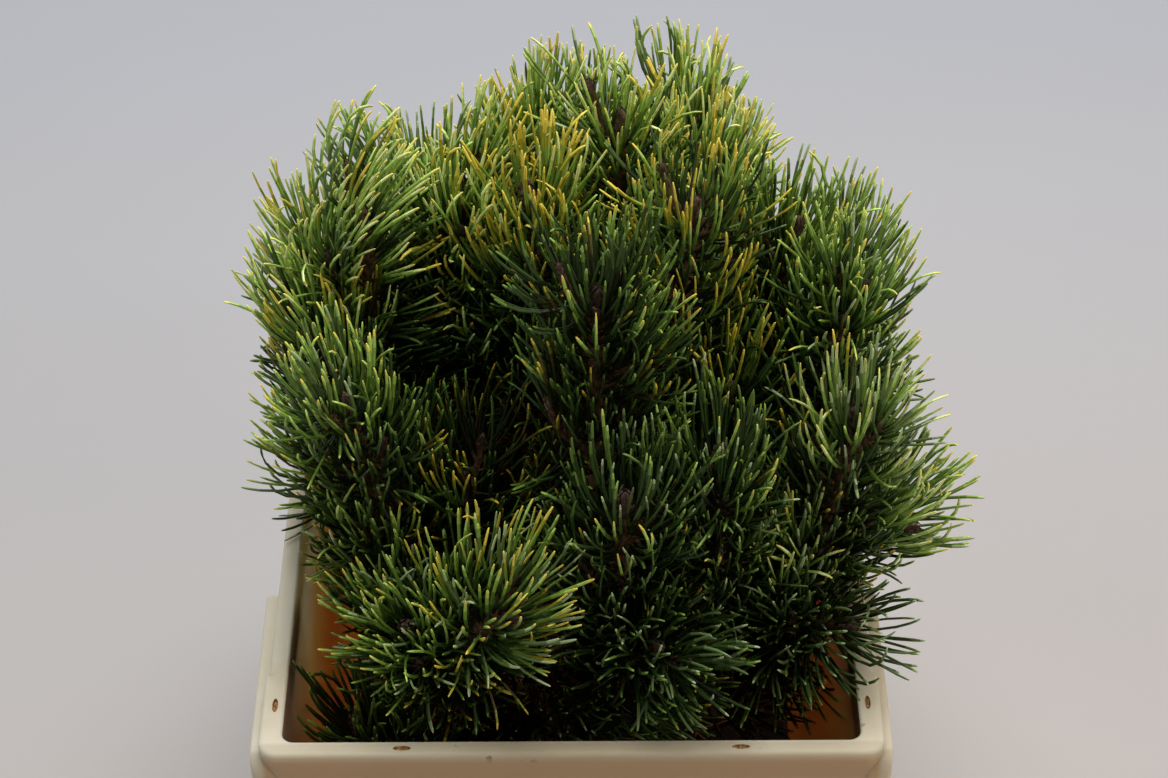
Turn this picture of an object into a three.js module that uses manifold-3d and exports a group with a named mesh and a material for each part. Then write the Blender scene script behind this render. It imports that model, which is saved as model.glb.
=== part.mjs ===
// A mugo pine with many upright shoots, growing in a rectangular cream plastic tub.
// Millimetres, +Z up, the tub's short front towards -Y.
// The origin is the middle of the tub's flat underside.

import * as THREE from 'three';
import Module from 'manifold-3d';

const wasm = await Module();
wasm.setup();

const { clamp, degToRad, lerp } = THREE.MathUtils;
const UP = new THREE.Vector3(0, 0, 1);

// ---------------------------------------------------------------- driving sizes

const GAP = 0.3;                 // clearance between pieces that meet

const TUB_HEIGHT = 290;
const TUB_MOUTH = [261, 361];    // inside width and depth at the rim
const TUB_TAPER = 12;            // how much nearer each inner wall is at the floor
const TUB_WALL = 3;
const TUB_FLOOR = 4;
const TUB_CORNER = 5.5;          // inside corner radius at the rim
const RIM_LIP = 8.5;             // flat lip round the mouth
const RIM_SKIRT = 20;            // height of the lip's outer edge
const RIM_CHAMFER = 1.5;
const LEDGE = { out: 6, length: 95, height: 16, drop: 5 };
const CORNER_STEPS = 4;

const SOIL_TOP = 60;
const SOIL_INSET = 1;            // the soil's clearance to the walls

const TRUNK_FOOT = [0, -8];
const TRUNK_TOP = [4, -12, 152];
const TRUNK_RADIUS = [17, 11];
const ROOT_FLARE = 1.5;          // foot radius as a share of the trunk's radius
const FLARE_HEIGHT = 18;

const CROWN_AXIS = [8, -8];      // the shoots lean away from this upright line
const CROWN_LOW = [-160, -196, 150];
const CROWN_HIGH = [200, 208, 545];

const BOUGH_SIDES = 6;
const STEM_SIDES = 5;
const TWIG_SIDES = 4;
const NEEDLE_STATION = 11;       // distance between rings of needles along a stem
const NEEDLE_LENGTH = 50;
const NEEDLE_SHORTEST = 12;
const NEEDLE_SPACE = 1.2;        // clearance between needles of neighbouring twigs
const BUD_LENGTH = 11;
const SEED = 7;

// Each shoot: the bough or trunk that carries it, where along that it springs (0 root to 1 tip),
// the place of its end bud, its lean there in degrees from upright (away from the crown's axis),
// a turn of that lean in degrees about the upright, and the length that bears needles, which is
// its own mass; one that bears needles all along has no bough of its own.
const shoot = (name, carrier, along, bud, lean, turn, needled) =>
  ({ name, carrier, along, bud, lean, turn, needled });

const SHOOTS = [
  shoot('left_top', 'trunk', 0.80, [-93, -20, 459], 2, 0, 185),
  shoot('left_front', 'trunk', 0.55, [-99, -92, 410], 12, 0, 185),
  shoot('front', 'trunk', 0.45, [-27, -160, 346], 48, 65, 105),
  shoot('right_front', 'trunk', 0.60, [127, -94, 402], 6, 0, 190),
  shoot('right_back', 'trunk', 0.75, [104, 4, 430], 12, 0, 165),
  shoot('top', 'trunk', 0.98, [24, 26, 476], 4, 0, 170),
  shoot('back_left', 'trunk', 0.65, [-68, 92, 388], 12, 0, 160),
  shoot('back_right', 'trunk', 0.50, [60, 112, 416], 12, 0, 170),
  shoot('middle', 'trunk', 0.90, [12, -86, 468], 6, 0, 150),
  shoot('left_middle', 'left_top', 0.60, [-50, -6, 453], 4, 0, 115),
  shoot('left_out', 'left_top', 0.42, [-118, -34, 404], 24, 0, 125),
  shoot('left_back', 'back_left', 0.42, [-124, 36, 402], 16, 0, 145),
  shoot('front_left', 'left_front', 0.50, [-72, -144, 324], 35, 0, 95),
  shoot('inner_left', 'left_front', 0.70, [-50, -80, 356], 12, 0, 105),
  shoot('front_low', 'front', 0.55, [38, -152, 320], 38, 0, 90),
  shoot('middle_front', 'middle', 0.50, [24, -134, 392], 12, 0, 125),
  shoot('middle_right', 'right_front', 0.50, [66, -108, 394], 8, 0, 130),
  shoot('gold_left', 'middle', 0.72, [-18, -24, 475], 8, 0, 125),
  shoot('gold_right', 'right_back', 0.60, [56, -34, 474], 8, 0, 150),
  shoot('right_middle', 'right_back', 0.80, [131, -40, 430], 16, 0, 120),
  shoot('right_out', 'right_front', 0.90, [154, -72, 318], 80, 0, 95),
  shoot('right_low', 'right_front', 0.45, [126, -130, 310], 50, 0, 80),
  shoot('top_right', 'top', 0.66, [60, 42, 446], 10, 0, 135),
  shoot('top_left', 'top', 0.50, [-24, 46, 448], 14, 30, 135),
  shoot('right_far', 'back_right', 0.48, [137, 54, 378], 22, 0, 120),
  shoot('back', 'back_left', 0.64, [-4, 134, 399], 18, 0, 145),
  shoot('back_low_left', 'back_left', 0.32, [-92, 146, 352], 32, 0, 125),
  shoot('back_low_right', 'back_right', 0.38, [78, 158, 352], 32, 0, 125),
  shoot('front_base', 'trunk', 0.20, [-100, -140, 254], 16, 0, Infinity),
];

// ---------------------------------------------------------------- materials

const finish = (color, roughness) => new THREE.MeshStandardMaterial({ color, roughness, metalness: 0 });
const tubPlastic = finish(0xd9ceb8, 0.45);
const compost = finish(0x2a1f18, 0.95);
const bark = finish(0x4a3529, 0.9);
const needleGreen = finish(0x4f6b2f, 0.6);

// ---------------------------------------------------------------- meshes and solids

const vector = (values) => new THREE.Vector3(...values);

function seededRandom(seed) {
  let state = seed;
  return () => {
    state = (state + 0x6d2b79f5) | 0;
    let mixed = Math.imul(state ^ (state >>> 15), 1 | state);
    mixed = (mixed + Math.imul(mixed ^ (mixed >>> 7), 61 | mixed)) ^ mixed;
    return ((mixed ^ (mixed >>> 14)) >>> 0) / 4294967296;
  };
}

function solidOf(points, triangles) {
  const vertProperties = new Float32Array(points.flatMap((point) => [point.x, point.y, point.z]));
  const triVerts = new Uint32Array(triangles);
  return new wasm.Manifold(new wasm.Mesh({ numProp: 3, vertProperties, triVerts }));
}

function meshOf(name, solid, material) {
  const { numProp, vertProperties, triVerts } = solid.getMesh();
  const geometry = new THREE.BufferGeometry();
  const places = new Float32Array((vertProperties.length / numProp) * 3);
  for (let i = 0; i < places.length / 3; i += 1) {
    places.set(vertProperties.subarray(i * numProp, i * numProp + 3), i * 3);
  }
  geometry.setAttribute('position', new THREE.BufferAttribute(places, 3));
  geometry.setIndex(new THREE.BufferAttribute(new Uint32Array(triVerts), 1));
  geometry.computeVertexNormals();
  const mesh = new THREE.Mesh(geometry, material);
  mesh.name = name;
  return mesh;
}

const centreOf = (points) => points
  .reduce((sum, point) => sum.add(point), new THREE.Vector3())
  .divideScalar(points.length);

// Joins rings of equal count into a closed skin, with a fan over the first and last ring.
// tip is the middle of the last fan. raise may give a facet a point to stand up to.
function skinOf(rings, tip = centreOf(rings[rings.length - 1]), raise = () => null) {
  const sides = rings[0].length;
  const points = rings.flat();
  const triangles = [];
  const addFacet = (a, b, c) => {
    const peak = raise([points[a], points[b], points[c]]);
    if (peak) {
      const top = points.push(peak) - 1;
      triangles.push([a, b, top], [b, c, top], [c, a, top]);
    } else {
      triangles.push([a, b, c]);
    }
  };
  for (let ring = 0; ring + 1 < rings.length; ring += 1) {
    for (let side = 0; side < sides; side += 1) {
      const next = (side + 1) % sides;
      const [a, b] = [ring * sides + side, ring * sides + next];
      addFacet(a, b, b + sides);
      addFacet(a, b + sides, a + sides);
    }
  }
  const first = points.push(centreOf(rings[0])) - 1;
  const last = points.push(tip) - 1;
  const top = (rings.length - 1) * sides;
  for (let side = 0; side < sides; side += 1) {
    const next = (side + 1) % sides;
    triangles.push([first, next, side], [last, top + side, top + next]);
  }
  return { points, triangles };
}

// ---------------------------------------------------------------- tub and soil

function roundedRing(halfWidth, halfDepth, radius, z) {
  const ring = [];
  for (let corner = 0; corner < 4; corner += 1) {
    const signX = corner === 0 || corner === 3 ? 1 : -1;
    const signY = corner < 2 ? 1 : -1;
    for (let step = 0; step <= CORNER_STEPS; step += 1) {
      const angle = (corner + step / CORNER_STEPS) * (Math.PI / 2);
      ring.push(new THREE.Vector3(
        signX * (halfWidth - radius) + radius * Math.cos(angle),
        signY * (halfDepth - radius) + radius * Math.sin(angle),
        z,
      ));
    }
  }
  return ring;
}

// The distance from the upright middle planes to the tub's inner face, at a height.
const innerHalf = (axis, z) => TUB_MOUTH[axis] / 2 - TUB_TAPER * (1 - z / TUB_HEIGHT);

function tubRing(offset, z) {
  const corner = TUB_CORNER + clamp(offset, 0, TUB_WALL);
  return roundedRing(innerHalf(0, z) + offset, innerHalf(1, z) + offset, corner, z);
}

function tubSolid() {
  const lipUnder = TUB_HEIGHT - RIM_SKIRT;
  const rings = [
    tubRing(TUB_WALL, 0),
    tubRing(TUB_WALL, lipUnder),
    tubRing(RIM_LIP, lipUnder),
    tubRing(RIM_LIP, TUB_HEIGHT - RIM_CHAMFER),
    tubRing(RIM_LIP - RIM_CHAMFER, TUB_HEIGHT),
    tubRing(RIM_CHAMFER, TUB_HEIGHT),
    tubRing(0, TUB_HEIGHT - RIM_CHAMFER),
    tubRing(0, TUB_FLOOR),
  ];
  const skin = skinOf(rings);
  let solid = solidOf(skin.points, skin.triangles.flat());
  for (const sideX of [-1, 1]) {
    for (const sideY of [-1, 1]) {
      solid = solid.add(ledgeSolid(sideX, sideY));
    }
  }
  return solid;
}

// A grip ledge on the long side of the rim, near a corner.
function ledgeSolid(sideX, sideY) {
  const sunk = 2;
  const rimFace = TUB_MOUTH[0] / 2 + RIM_LIP;
  const width = LEDGE.out + sunk;
  const middle = new THREE.Vector3(
    sideX * (rimFace - sunk + width / 2),
    sideY * (TUB_MOUTH[1] / 2 - LEDGE.length / 2),
    TUB_HEIGHT - LEDGE.drop - LEDGE.height / 2,
  );
  const rectangle = (z) => [[-1, -1], [1, -1], [1, 1], [-1, 1]].map(([x, y]) => new THREE.Vector3(
    middle.x + (x * width) / 2,
    middle.y + (y * LEDGE.length) / 2,
    middle.z + (z * LEDGE.height) / 2,
  ));
  const skin = skinOf([rectangle(-1), rectangle(1)]);
  return solidOf(skin.points, skin.triangles.flat());
}

function soilSolid() {
  const bottom = TUB_FLOOR + GAP;
  const skin = skinOf([tubRing(-SOIL_INSET, bottom), tubRing(-SOIL_INSET, SOIL_TOP)]);
  return solidOf(skin.points, skin.triangles.flat());
}

// ---------------------------------------------------------------- limbs

// A limb follows a curve; its length is measured from the root.
class Limb {
  constructor(curve, rootRadius, tipRadius) {
    this.curve = curve;
    this.length = curve.getLength();
    this.rootRadius = rootRadius;
    this.tipRadius = tipRadius;
  }

  pointAt(distance) {
    return this.curve.getPointAt(clamp(distance / this.length, 0, 1));
  }

  tangentAt(distance) {
    return this.curve.getTangentAt(clamp(distance / this.length, 0, 1));
  }

  radiusAt(distance) {
    return lerp(this.rootRadius, this.tipRadius, distance / this.length);
  }

  // Cross frames at even steps, turned as little as possible from one to the next.
  frames(from, to, steps) {
    const list = [];
    let across = new THREE.Vector3(0.31, 0.87, 0.2);
    for (let step = 0; step <= steps; step += 1) {
      const distance = lerp(from, to, step / steps);
      const tangent = this.tangentAt(distance);
      across = across.clone().addScaledVector(tangent, -across.dot(tangent)).normalize();
      const other = new THREE.Vector3().crossVectors(tangent, across);
      list.push({ distance, tangent, across, other, point: this.pointAt(distance) });
    }
    return list;
  }

  rings(from, to, steps, sides, grow = 0, swell = () => 1) {
    return this.frames(from, to, steps).map((frame) => {
      const radius = this.radiusAt(frame.distance) * swell(frame.distance) + grow;
      return Array.from({ length: sides }, (_, side) => {
        const angle = (side / sides) * Math.PI * 2;
        return frame.point.clone()
          .addScaledVector(frame.across, radius * Math.cos(angle))
          .addScaledVector(frame.other, radius * Math.sin(angle));
      });
    });
  }
}

function limbSolid(limb, from, to, steps, grow = 0, swell) {
  const skin = skinOf(limb.rings(from, to, steps, BOUGH_SIDES, grow, swell));
  return solidOf(skin.points, skin.triangles.flat());
}

const trunkFoot = new THREE.Vector3(TRUNK_FOOT[0], TRUNK_FOOT[1], SOIL_TOP + GAP);
const trunkCurve = new THREE.QuadraticBezierCurve3(
  trunkFoot,
  new THREE.Vector3(TRUNK_FOOT[0], TRUNK_FOOT[1], (SOIL_TOP + TRUNK_TOP[2]) / 2),
  vector(TRUNK_TOP),
);
const trunk = new Limb(trunkCurve, ...TRUNK_RADIUS);
const flare = (distance) => 1 + (ROOT_FLARE - 1) * Math.max(0, 1 - distance / FLARE_HEIGHT) ** 2;

// ---------------------------------------------------------------- shoots

const START_PULL = 0.38;         // how far a limb keeps its first direction, as a share of its span
const END_PULL = 0.4;
const TRUNK_ANGLE = 52;          // degrees from upright at which boughs leave the trunk
const BUD_RADIUS = 2.6;
const ROOT_RADII = { trunk: 7, bough: 4.6 };

// The direction that leaves one unit direction by an angle towards another at right angles to it.
function leaning(from, towards, degrees) {
  return from.clone().multiplyScalar(Math.cos(degToRad(degrees)))
    .addScaledVector(towards, Math.sin(degToRad(degrees)));
}

function limbFrom(start, firstDirection, bud, lastDirection, rootRadius, tipRadius) {
  const span = start.distanceTo(bud);
  const curve = new THREE.CubicBezierCurve3(
    start,
    start.clone().addScaledVector(firstDirection, span * START_PULL),
    bud.clone().addScaledVector(lastDirection, -span * END_PULL),
    bud,
  );
  return new Limb(curve, rootRadius, tipRadius);
}

function growShoot(entry, grown) {
  const bud = vector(entry.bud);
  const fromTrunk = entry.carrier === 'trunk';
  const carrier = fromTrunk ? trunk : grown.get(entry.carrier).limb;
  const carrierEnd = fromTrunk ? trunk.length : grown.get(entry.carrier).boughEnd;
  const rootDistance = carrierEnd * entry.along;
  const start = carrier.pointAt(rootDistance);
  const level = bud.clone().sub(start).setZ(0).normalize();
  const firstDirection = fromTrunk
    ? leaning(UP, level, TRUNK_ANGLE)
    : carrier.tangentAt(rootDistance).addScaledVector(level, 1).normalize();
  const outward = new THREE.Vector3(bud.x - CROWN_AXIS[0], bud.y - CROWN_AXIS[1], 0)
    .normalize().applyAxisAngle(UP, degToRad(entry.turn));
  const lastDirection = leaning(UP, outward, entry.lean);
  const rootRadius = ROOT_RADII[fromTrunk ? 'trunk' : 'bough'];
  const limb = limbFrom(start, firstDirection, bud, lastDirection, rootRadius, BUD_RADIUS);
  const boughEnd = Math.max(0, limb.length - entry.needled);
  return { ...entry, limb, boughEnd, needled: limb.length - boughEnd };
}

const grown = new Map();
for (const entry of SHOOTS) {
  grown.set(entry.name, growShoot(entry, grown));
}

// ---------------------------------------------------------------- the room each twig keeps to

const PIECE_LENGTH = 8;

// The straight lengths of every limb and twig. A bare one has no needles round it.
const pieces = [];

function occupy(limb, from, to, owner, bare) {
  const count = Math.max(1, Math.ceil((to - from) / PIECE_LENGTH));
  for (let i = 0; i < count; i += 1) {
    const [near, far] = [i, i + 1].map((step) => limb.pointAt(lerp(from, to, step / count)));
    pieces.push({ line: new THREE.Line3(near, far), radius: limb.radiusAt(from), owner, bare });
  }
}

const nearestPoint = new THREE.Vector3();
function distanceTo(piece, place) {
  piece.line.closestPointToPoint(place, true, nearestPoint);
  return nearestPoint.distanceTo(place);
}

function insideCrown(place) {
  return place.x > CROWN_LOW[0] && place.y > CROWN_LOW[1] && place.z > CROWN_LOW[2]
    && place.x < CROWN_HIGH[0] && place.y < CROWN_HIGH[1] && place.z < CROWN_HIGH[2];
}

function clearOfTub(place, room) {
  if (place.z > TUB_HEIGHT + room) {
    return true;
  }
  return Math.abs(place.x) < innerHalf(0, place.z) - room - RIM_CHAMFER
    && Math.abs(place.y) < innerHalf(1, place.z) - room - RIM_CHAMFER;
}

// ---------------------------------------------------------------- side twigs

const TWIG_SPACING = 40;             // between the roots of side twigs along a stem
const TWIG_FIRST = 14;               // the first root's distance from the foot of the stem
const TWIG_REACH = [34, 58];         // shortest and longest
const TWIG_ANGLE = 40;               // degrees from the stem
const TWIG_BEND = 0.6;               // share of its length before it turns up
const TWIG_SHARE = [0.42, 0.55];     // twig length as a share of the stem beyond it
const TWIG_CLEARANCE = 21;           // to the twigs of other masses
const LIMB_CLEARANCE = 12.6;         // to its own stem and to bare limbs
const TWIG_TRIES = 9;
const TWIG_RADII = [2.4, 1.9];
const GOLDEN_ANGLE = 137.5;

function growSideTwigs(entry, random) {
  const { limb, boughEnd, needled } = entry;
  const twigs = [];
  let bearing = random() * 360;
  for (let root = TWIG_FIRST; root < needled - TWIG_SPACING; root += TWIG_SPACING) {
    const distance = boughEnd + root;
    const [frame] = limb.frames(distance, limb.length, 1);
    const share = (limb.length - distance) * lerp(...TWIG_SHARE, random());
    const length = clamp(share, ...TWIG_REACH);
    for (let attempt = 0; attempt < TWIG_TRIES; attempt += 1) {
      bearing += GOLDEN_ANGLE;
      const first = leaning(frame.tangent, leaning(frame.across, frame.other, bearing), TWIG_ANGLE);
      const last = frame.tangent.clone().add(first).add(UP).normalize();
      const end = frame.point.clone()
        .addScaledVector(first, length * TWIG_BEND)
        .addScaledVector(last, length * (1 - TWIG_BEND));
      const twig = limbFrom(frame.point, first, end, last, ...TWIG_RADII);
      if (twigHasRoom(twig, entry.name)) {
        twigs.push(twig);
        occupy(twig, 0, twig.length, `${entry.name}/${twigs.length}`, false);
        break;
      }
    }
  }
  return twigs;
}

// Whether the outer half of a twig is clear of the tub and of every other limb and twig.
function twigHasRoom(twig, name) {
  const [middle, ...outer] = [0.5, 0.75, 1].map((share) => twig.pointAt(twig.length * share));
  const isFree = (place, others) => insideCrown(place) && clearOfTub(place, LIMB_CLEARANCE)
    && others.every((piece) => {
      const wanted = piece.bare || piece.owner === name ? LIMB_CLEARANCE : TWIG_CLEARANCE;
      return distanceTo(piece, place) > wanted;
    });
  return isFree(middle, pieces.filter((piece) => piece.owner !== name))
    && outer.every((place) => isFree(place, pieces));
}

// ---------------------------------------------------------------- needles

const NEEDLE_ANGLES = [58, 46, 17];  // degrees from the stem: at its foot, near its end, round its bud
const NEEDLE_ROOT = 3;               // half thickness where a needle leaves the stem
const NEEDLE_STEP = 3;
const ANGLE_SPREAD = 0.12;
const ROSETTE = 18;                  // length of stem under the bud where needles close in round it
const LENGTH_SPREAD = [0.84, 1];

// How long a needle can grow before it leaves its twig's room.
function needleRoom(start, direction, wanted, own, others) {
  let room = 0;
  const steps = Math.ceil(wanted / NEEDLE_STEP);
  for (let step = 1; step <= steps; step += 1) {
    const reach = (wanted * step) / steps;
    const place = start.clone().addScaledVector(direction, reach);
    const thickness = NEEDLE_ROOT * (1 - reach / wanted);
    if (!insideCrown(place) || !clearOfTub(place, thickness + NEEDLE_SPACE)) {
      break;
    }
    const ownDistance = Math.min(...own.map((piece) => distanceTo(piece, place)));
    const free = others.every((piece) => {
      const wantedDistance = piece.bare ? piece.radius + thickness : ownDistance + 2 * thickness;
      return distanceTo(piece, place) > wantedDistance + NEEDLE_SPACE;
    });
    if (!free) {
      break;
    }
    room = reach;
  }
  return room;
}

// A stem or twig whose facets stand up as needles, with a bud at its end.
function needledSolid(limb, from, sides, owner, ownBough, random) {
  const lastRing = limb.length - BUD_LENGTH;
  const steps = Math.max(2, Math.round((lastRing - from) / NEEDLE_STATION));
  const own = pieces.filter((piece) => piece.owner === owner);
  const foreign = pieces.filter((piece) => piece.owner !== owner && piece.owner !== ownBough);
  const stepLength = (lastRing - from) / steps;
  let facet = 0;
  const raise = (corners) => {
    const middle = centreOf(corners);
    const ring = Math.floor(facet / (2 * sides));
    facet += 1;
    const distance = from + (ring + 0.5) * stepLength;
    const share = (distance - from) / (lastRing - from);
    const tangent = limb.tangentAt(distance);
    const outward = middle.clone().sub(limb.pointAt(distance));
    outward.addScaledVector(tangent, -outward.dot(tangent)).normalize();
    const aroundBud = Math.max(0, 1 - (lastRing - distance) / ROSETTE);
    const angle = lerp(lerp(NEEDLE_ANGLES[0], NEEDLE_ANGLES[1], share), NEEDLE_ANGLES[2], aroundBud);
    const direction = leaning(tangent, outward, angle * (1 + ANGLE_SPREAD * (random() - 0.5)));
    const wanted = NEEDLE_LENGTH * lerp(...LENGTH_SPREAD, random());
    const others = foreign.filter((piece) => distanceTo(piece, middle) < 2 * wanted);
    const length = needleRoom(middle, direction, wanted, own, others);
    return length < NEEDLE_SHORTEST ? null : middle.addScaledVector(direction, length);
  };
  const skin = skinOf(limb.rings(from, lastRing, steps, sides), limb.pointAt(limb.length), raise);
  return solidOf(skin.points, skin.triangles.flat());
}

// ---------------------------------------------------------------- the plant

const random = seededRandom(SEED);
occupy(trunk, 0, trunk.length, 'trunk', true);
for (const { name, limb, boughEnd } of grown.values()) {
  if (boughEnd > 0) {
    occupy(limb, 0, boughEnd, `bough_${name}`, true);
  }
  occupy(limb, boughEnd, limb.length, name, false);
}
for (const entry of grown.values()) {
  entry.twigs = growSideTwigs(entry, random);
}

const TRUNK_STEPS = 8;
const BOUGH_STEP = 34;

function boughSolid({ limb, boughEnd }, grow = 0) {
  const steps = Math.max(3, Math.round(boughEnd / BOUGH_STEP));
  return limbSolid(limb, 0, boughEnd, steps, grow);
}

function largestOf(solid) {
  return solid.decompose().reduce((best, part) => (part.volume() > best.volume() ? part : best));
}

const plant = new THREE.Group();
plant.add(meshOf('tub', tubSolid(), tubPlastic));
plant.add(meshOf('soil', soilSolid(), compost));

const trunkSolid = (grow) => limbSolid(trunk, 0, trunk.length, TRUNK_STEPS, grow, flare);
plant.add(meshOf('trunk', trunkSolid(0), bark));

const withBough = [...grown.values()].filter((entry) => entry.boughEnd > 0);
withBough.forEach((entry, index) => {
  let solid = boughSolid(entry).subtract(trunkSolid(GAP));
  for (const earlier of withBough.slice(0, index)) {
    solid = solid.subtract(boughSolid(earlier, GAP));
  }
  plant.add(meshOf(`bough_${entry.name}`, largestOf(solid), bark));
});

for (const { name, limb, boughEnd, twigs } of grown.values()) {
  const onBough = boughEnd > 0;
  let solid = needledSolid(limb, onBough ? boughEnd + GAP : 0, STEM_SIDES, name, `bough_${name}`, random);
  twigs.forEach((twig, index) => {
    solid = solid.add(needledSolid(twig, 0, TWIG_SIDES, `${name}/${index + 1}`, '', random));
  });
  solid = solid.subtract(trunkSolid(GAP));
  for (const bough of withBough) {
    solid = solid.subtract(boughSolid(bough, GAP));
  }
  plant.add(meshOf(`needles_${name}`, largestOf(solid), needleGreen));
}

export default plant;
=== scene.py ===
"""A mugo pine with many upright shoots in a cream plastic tub: the looks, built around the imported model.

Sizes are in millimetres, in the part's own frame (+Z up, the tub's short front towards -Y), and MM
turns them into metres as each mesh is made. The shoots and their side twigs grow by the same named
sizes and the same seeded rule as the solids, and then carry on to finer twigs and real needles.
"""
import math

import bmesh
import bpy
import numpy as np
from mathutils import Matrix, Vector
from mathutils.noise import noise as noise_at


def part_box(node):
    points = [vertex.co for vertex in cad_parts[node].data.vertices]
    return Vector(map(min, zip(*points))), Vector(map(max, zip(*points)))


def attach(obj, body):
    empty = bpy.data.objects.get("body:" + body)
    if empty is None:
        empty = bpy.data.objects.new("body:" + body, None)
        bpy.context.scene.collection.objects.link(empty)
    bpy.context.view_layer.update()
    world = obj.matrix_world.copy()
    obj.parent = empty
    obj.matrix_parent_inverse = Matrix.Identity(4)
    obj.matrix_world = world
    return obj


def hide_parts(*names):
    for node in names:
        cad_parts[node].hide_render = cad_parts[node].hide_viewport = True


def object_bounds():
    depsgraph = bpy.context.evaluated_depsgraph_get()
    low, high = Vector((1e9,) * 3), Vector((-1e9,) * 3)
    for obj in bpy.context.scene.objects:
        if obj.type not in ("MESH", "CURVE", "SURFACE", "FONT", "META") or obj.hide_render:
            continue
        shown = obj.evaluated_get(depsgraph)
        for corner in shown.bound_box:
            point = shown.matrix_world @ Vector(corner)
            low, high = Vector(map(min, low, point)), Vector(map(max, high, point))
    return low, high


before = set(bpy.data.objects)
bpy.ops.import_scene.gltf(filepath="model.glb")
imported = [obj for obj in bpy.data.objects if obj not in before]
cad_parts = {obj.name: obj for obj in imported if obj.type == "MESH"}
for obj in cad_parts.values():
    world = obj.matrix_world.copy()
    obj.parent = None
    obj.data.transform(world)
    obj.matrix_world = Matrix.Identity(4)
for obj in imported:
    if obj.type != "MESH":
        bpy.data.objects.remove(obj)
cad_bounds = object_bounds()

MM = 0.001
UP = np.array([0.0, 0.0, 1.0])


def highest_corner(node):
    """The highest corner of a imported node's box, in millimetres."""
    return np.array(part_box(node)[1]) / MM


# ---------------- sizes shared with the solids

TUB_HEIGHT = float(highest_corner("tub")[2])
SOIL_TOP = float(highest_corner("soil")[2])
TUB_MOUTH = (261.0, 361.0)
TUB_TAPER = 12.0
TUB_WALL = 3.0
TUB_FLOOR = 4.0
TUB_CORNER = 5.5
RIM_LIP = 8.5
RIM_SKIRT = 20.0
CORNER_PAD = 38.0                # length of the wider stretch of the rim at each corner
PAD_OUT = 2.0
LEDGE_OUT = float(highest_corner("tub")[0]) - TUB_MOUTH[0] / 2 - RIM_LIP
LEDGE_LENGTH = 95.0
LEDGE_HEIGHT = 16.0
LEDGE_DROP = 5.0
LEDGE_NOSE = 3.0
LEDGE_FALL = 11.0
LEDGE_ROOT = 5.5                 # how deep a ledge is rooted in the rim
LEDGE_SHY = 0.6                  # how far a ledge stays behind the rim's short face
SLOT_INSET = 4.3
SLOT_FROM_MIDDLE = 76.0
SLOT_FROM_CORNER = 21.5
SLOT_HALF = (4.0, 1.3)
SLOT_DEPTH = 1.4

TRUNK_FOOT = (0.0, -8.0)
TRUNK_TOP = (4.0, -12.0, 152.0)
TRUNK_RADIUS = (17.0, 11.0)
ROOT_FLARE = 1.5
FLARE_HEIGHT = 18.0
GAP = 0.3

CROWN_AXIS = (8.0, -8.0)
CROWN_LOW = np.array([-160.0, -196.0, 150.0])
CROWN_HIGH = np.array([200.0, 208.0, 545.0])

START_PULL = 0.38
END_PULL = 0.4
TRUNK_ANGLE = 52.0
BUD_RADIUS = 2.6
ROOT_RADII = {"trunk": 7.0, "bough": 4.6}
SEED = 7

# name: (carrier, where on it the shoot springs, end bud, lean there, turn of the lean, needled length,
# kind of needles)
SHOOTS = {
    "left_top": ("trunk", 0.80, (-93, -20, 459), 2, 0, 185, "pale"),
    "left_front": ("trunk", 0.55, (-99, -92, 410), 12, 0, 185, "green"),
    "front": ("trunk", 0.45, (-27, -160, 346), 48, 65, 105, "spray"),
    "right_front": ("trunk", 0.60, (127, -94, 402), 6, 0, 190, "silver"),
    "right_back": ("trunk", 0.75, (104, 4, 430), 12, 0, 165, "green"),
    "top": ("trunk", 0.98, (24, 26, 476), 4, 0, 170, "pale"),
    "back_left": ("trunk", 0.65, (-68, 92, 388), 12, 0, 160, "green"),
    "back_right": ("trunk", 0.50, (60, 112, 416), 12, 0, 170, "green"),
    "middle": ("trunk", 0.90, (12, -86, 468), 6, 0, 150, "dusky"),
    "left_middle": ("left_top", 0.60, (-50, -6, 453), 4, 0, 115, "pale"),
    "left_out": ("left_top", 0.42, (-118, -34, 404), 24, 0, 125, "fresh"),
    "left_back": ("back_left", 0.42, (-124, 36, 402), 16, 0, 145, "pale"),
    "front_left": ("left_front", 0.50, (-72, -144, 324), 35, 0, 95, "green"),
    "inner_left": ("left_front", 0.70, (-50, -80, 356), 12, 0, 105, "olive"),
    "front_low": ("front", 0.55, (38, -152, 320), 38, 0, 90, "deep"),
    "middle_front": ("middle", 0.50, (24, -134, 392), 12, 0, 125, "blue"),
    "middle_right": ("right_front", 0.50, (66, -108, 394), 8, 0, 130, "blue"),
    "gold_left": ("middle", 0.72, (-18, -24, 475), 8, 0, 125, "gold"),
    "gold_right": ("right_back", 0.60, (56, -34, 474), 8, 0, 150, "gilded"),
    "right_middle": ("right_back", 0.80, (131, -40, 430), 16, 0, 120, "green"),
    "right_out": ("right_front", 0.90, (154, -72, 318), 80, 0, 95, "green"),
    "right_low": ("right_front", 0.45, (126, -130, 310), 50, 0, 80, "deep"),
    "top_right": ("top", 0.66, (60, 42, 446), 10, 0, 135, "pale"),
    "top_left": ("top", 0.50, (-24, 46, 448), 14, 30, 135, "pale"),
    "right_far": ("back_right", 0.48, (137, 54, 378), 22, 0, 120, "green"),
    "back": ("back_left", 0.64, (-4, 134, 399), 18, 0, 145, "green"),
    "back_low_left": ("back_left", 0.32, (-92, 146, 352), 32, 0, 125, "green"),
    "back_low_right": ("back_right", 0.38, (78, 158, 352), 32, 0, 125, "green"),
    "front_base": ("trunk", 0.20, (-100, -140, 254), 16, 0, math.inf, "dark"),
}


# ---------------- small helpers

def unit(vectors):
    vectors = np.asarray(vectors, float)
    return vectors / np.maximum(np.linalg.norm(vectors, axis=-1, keepdims=True), 1e-9)


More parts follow.
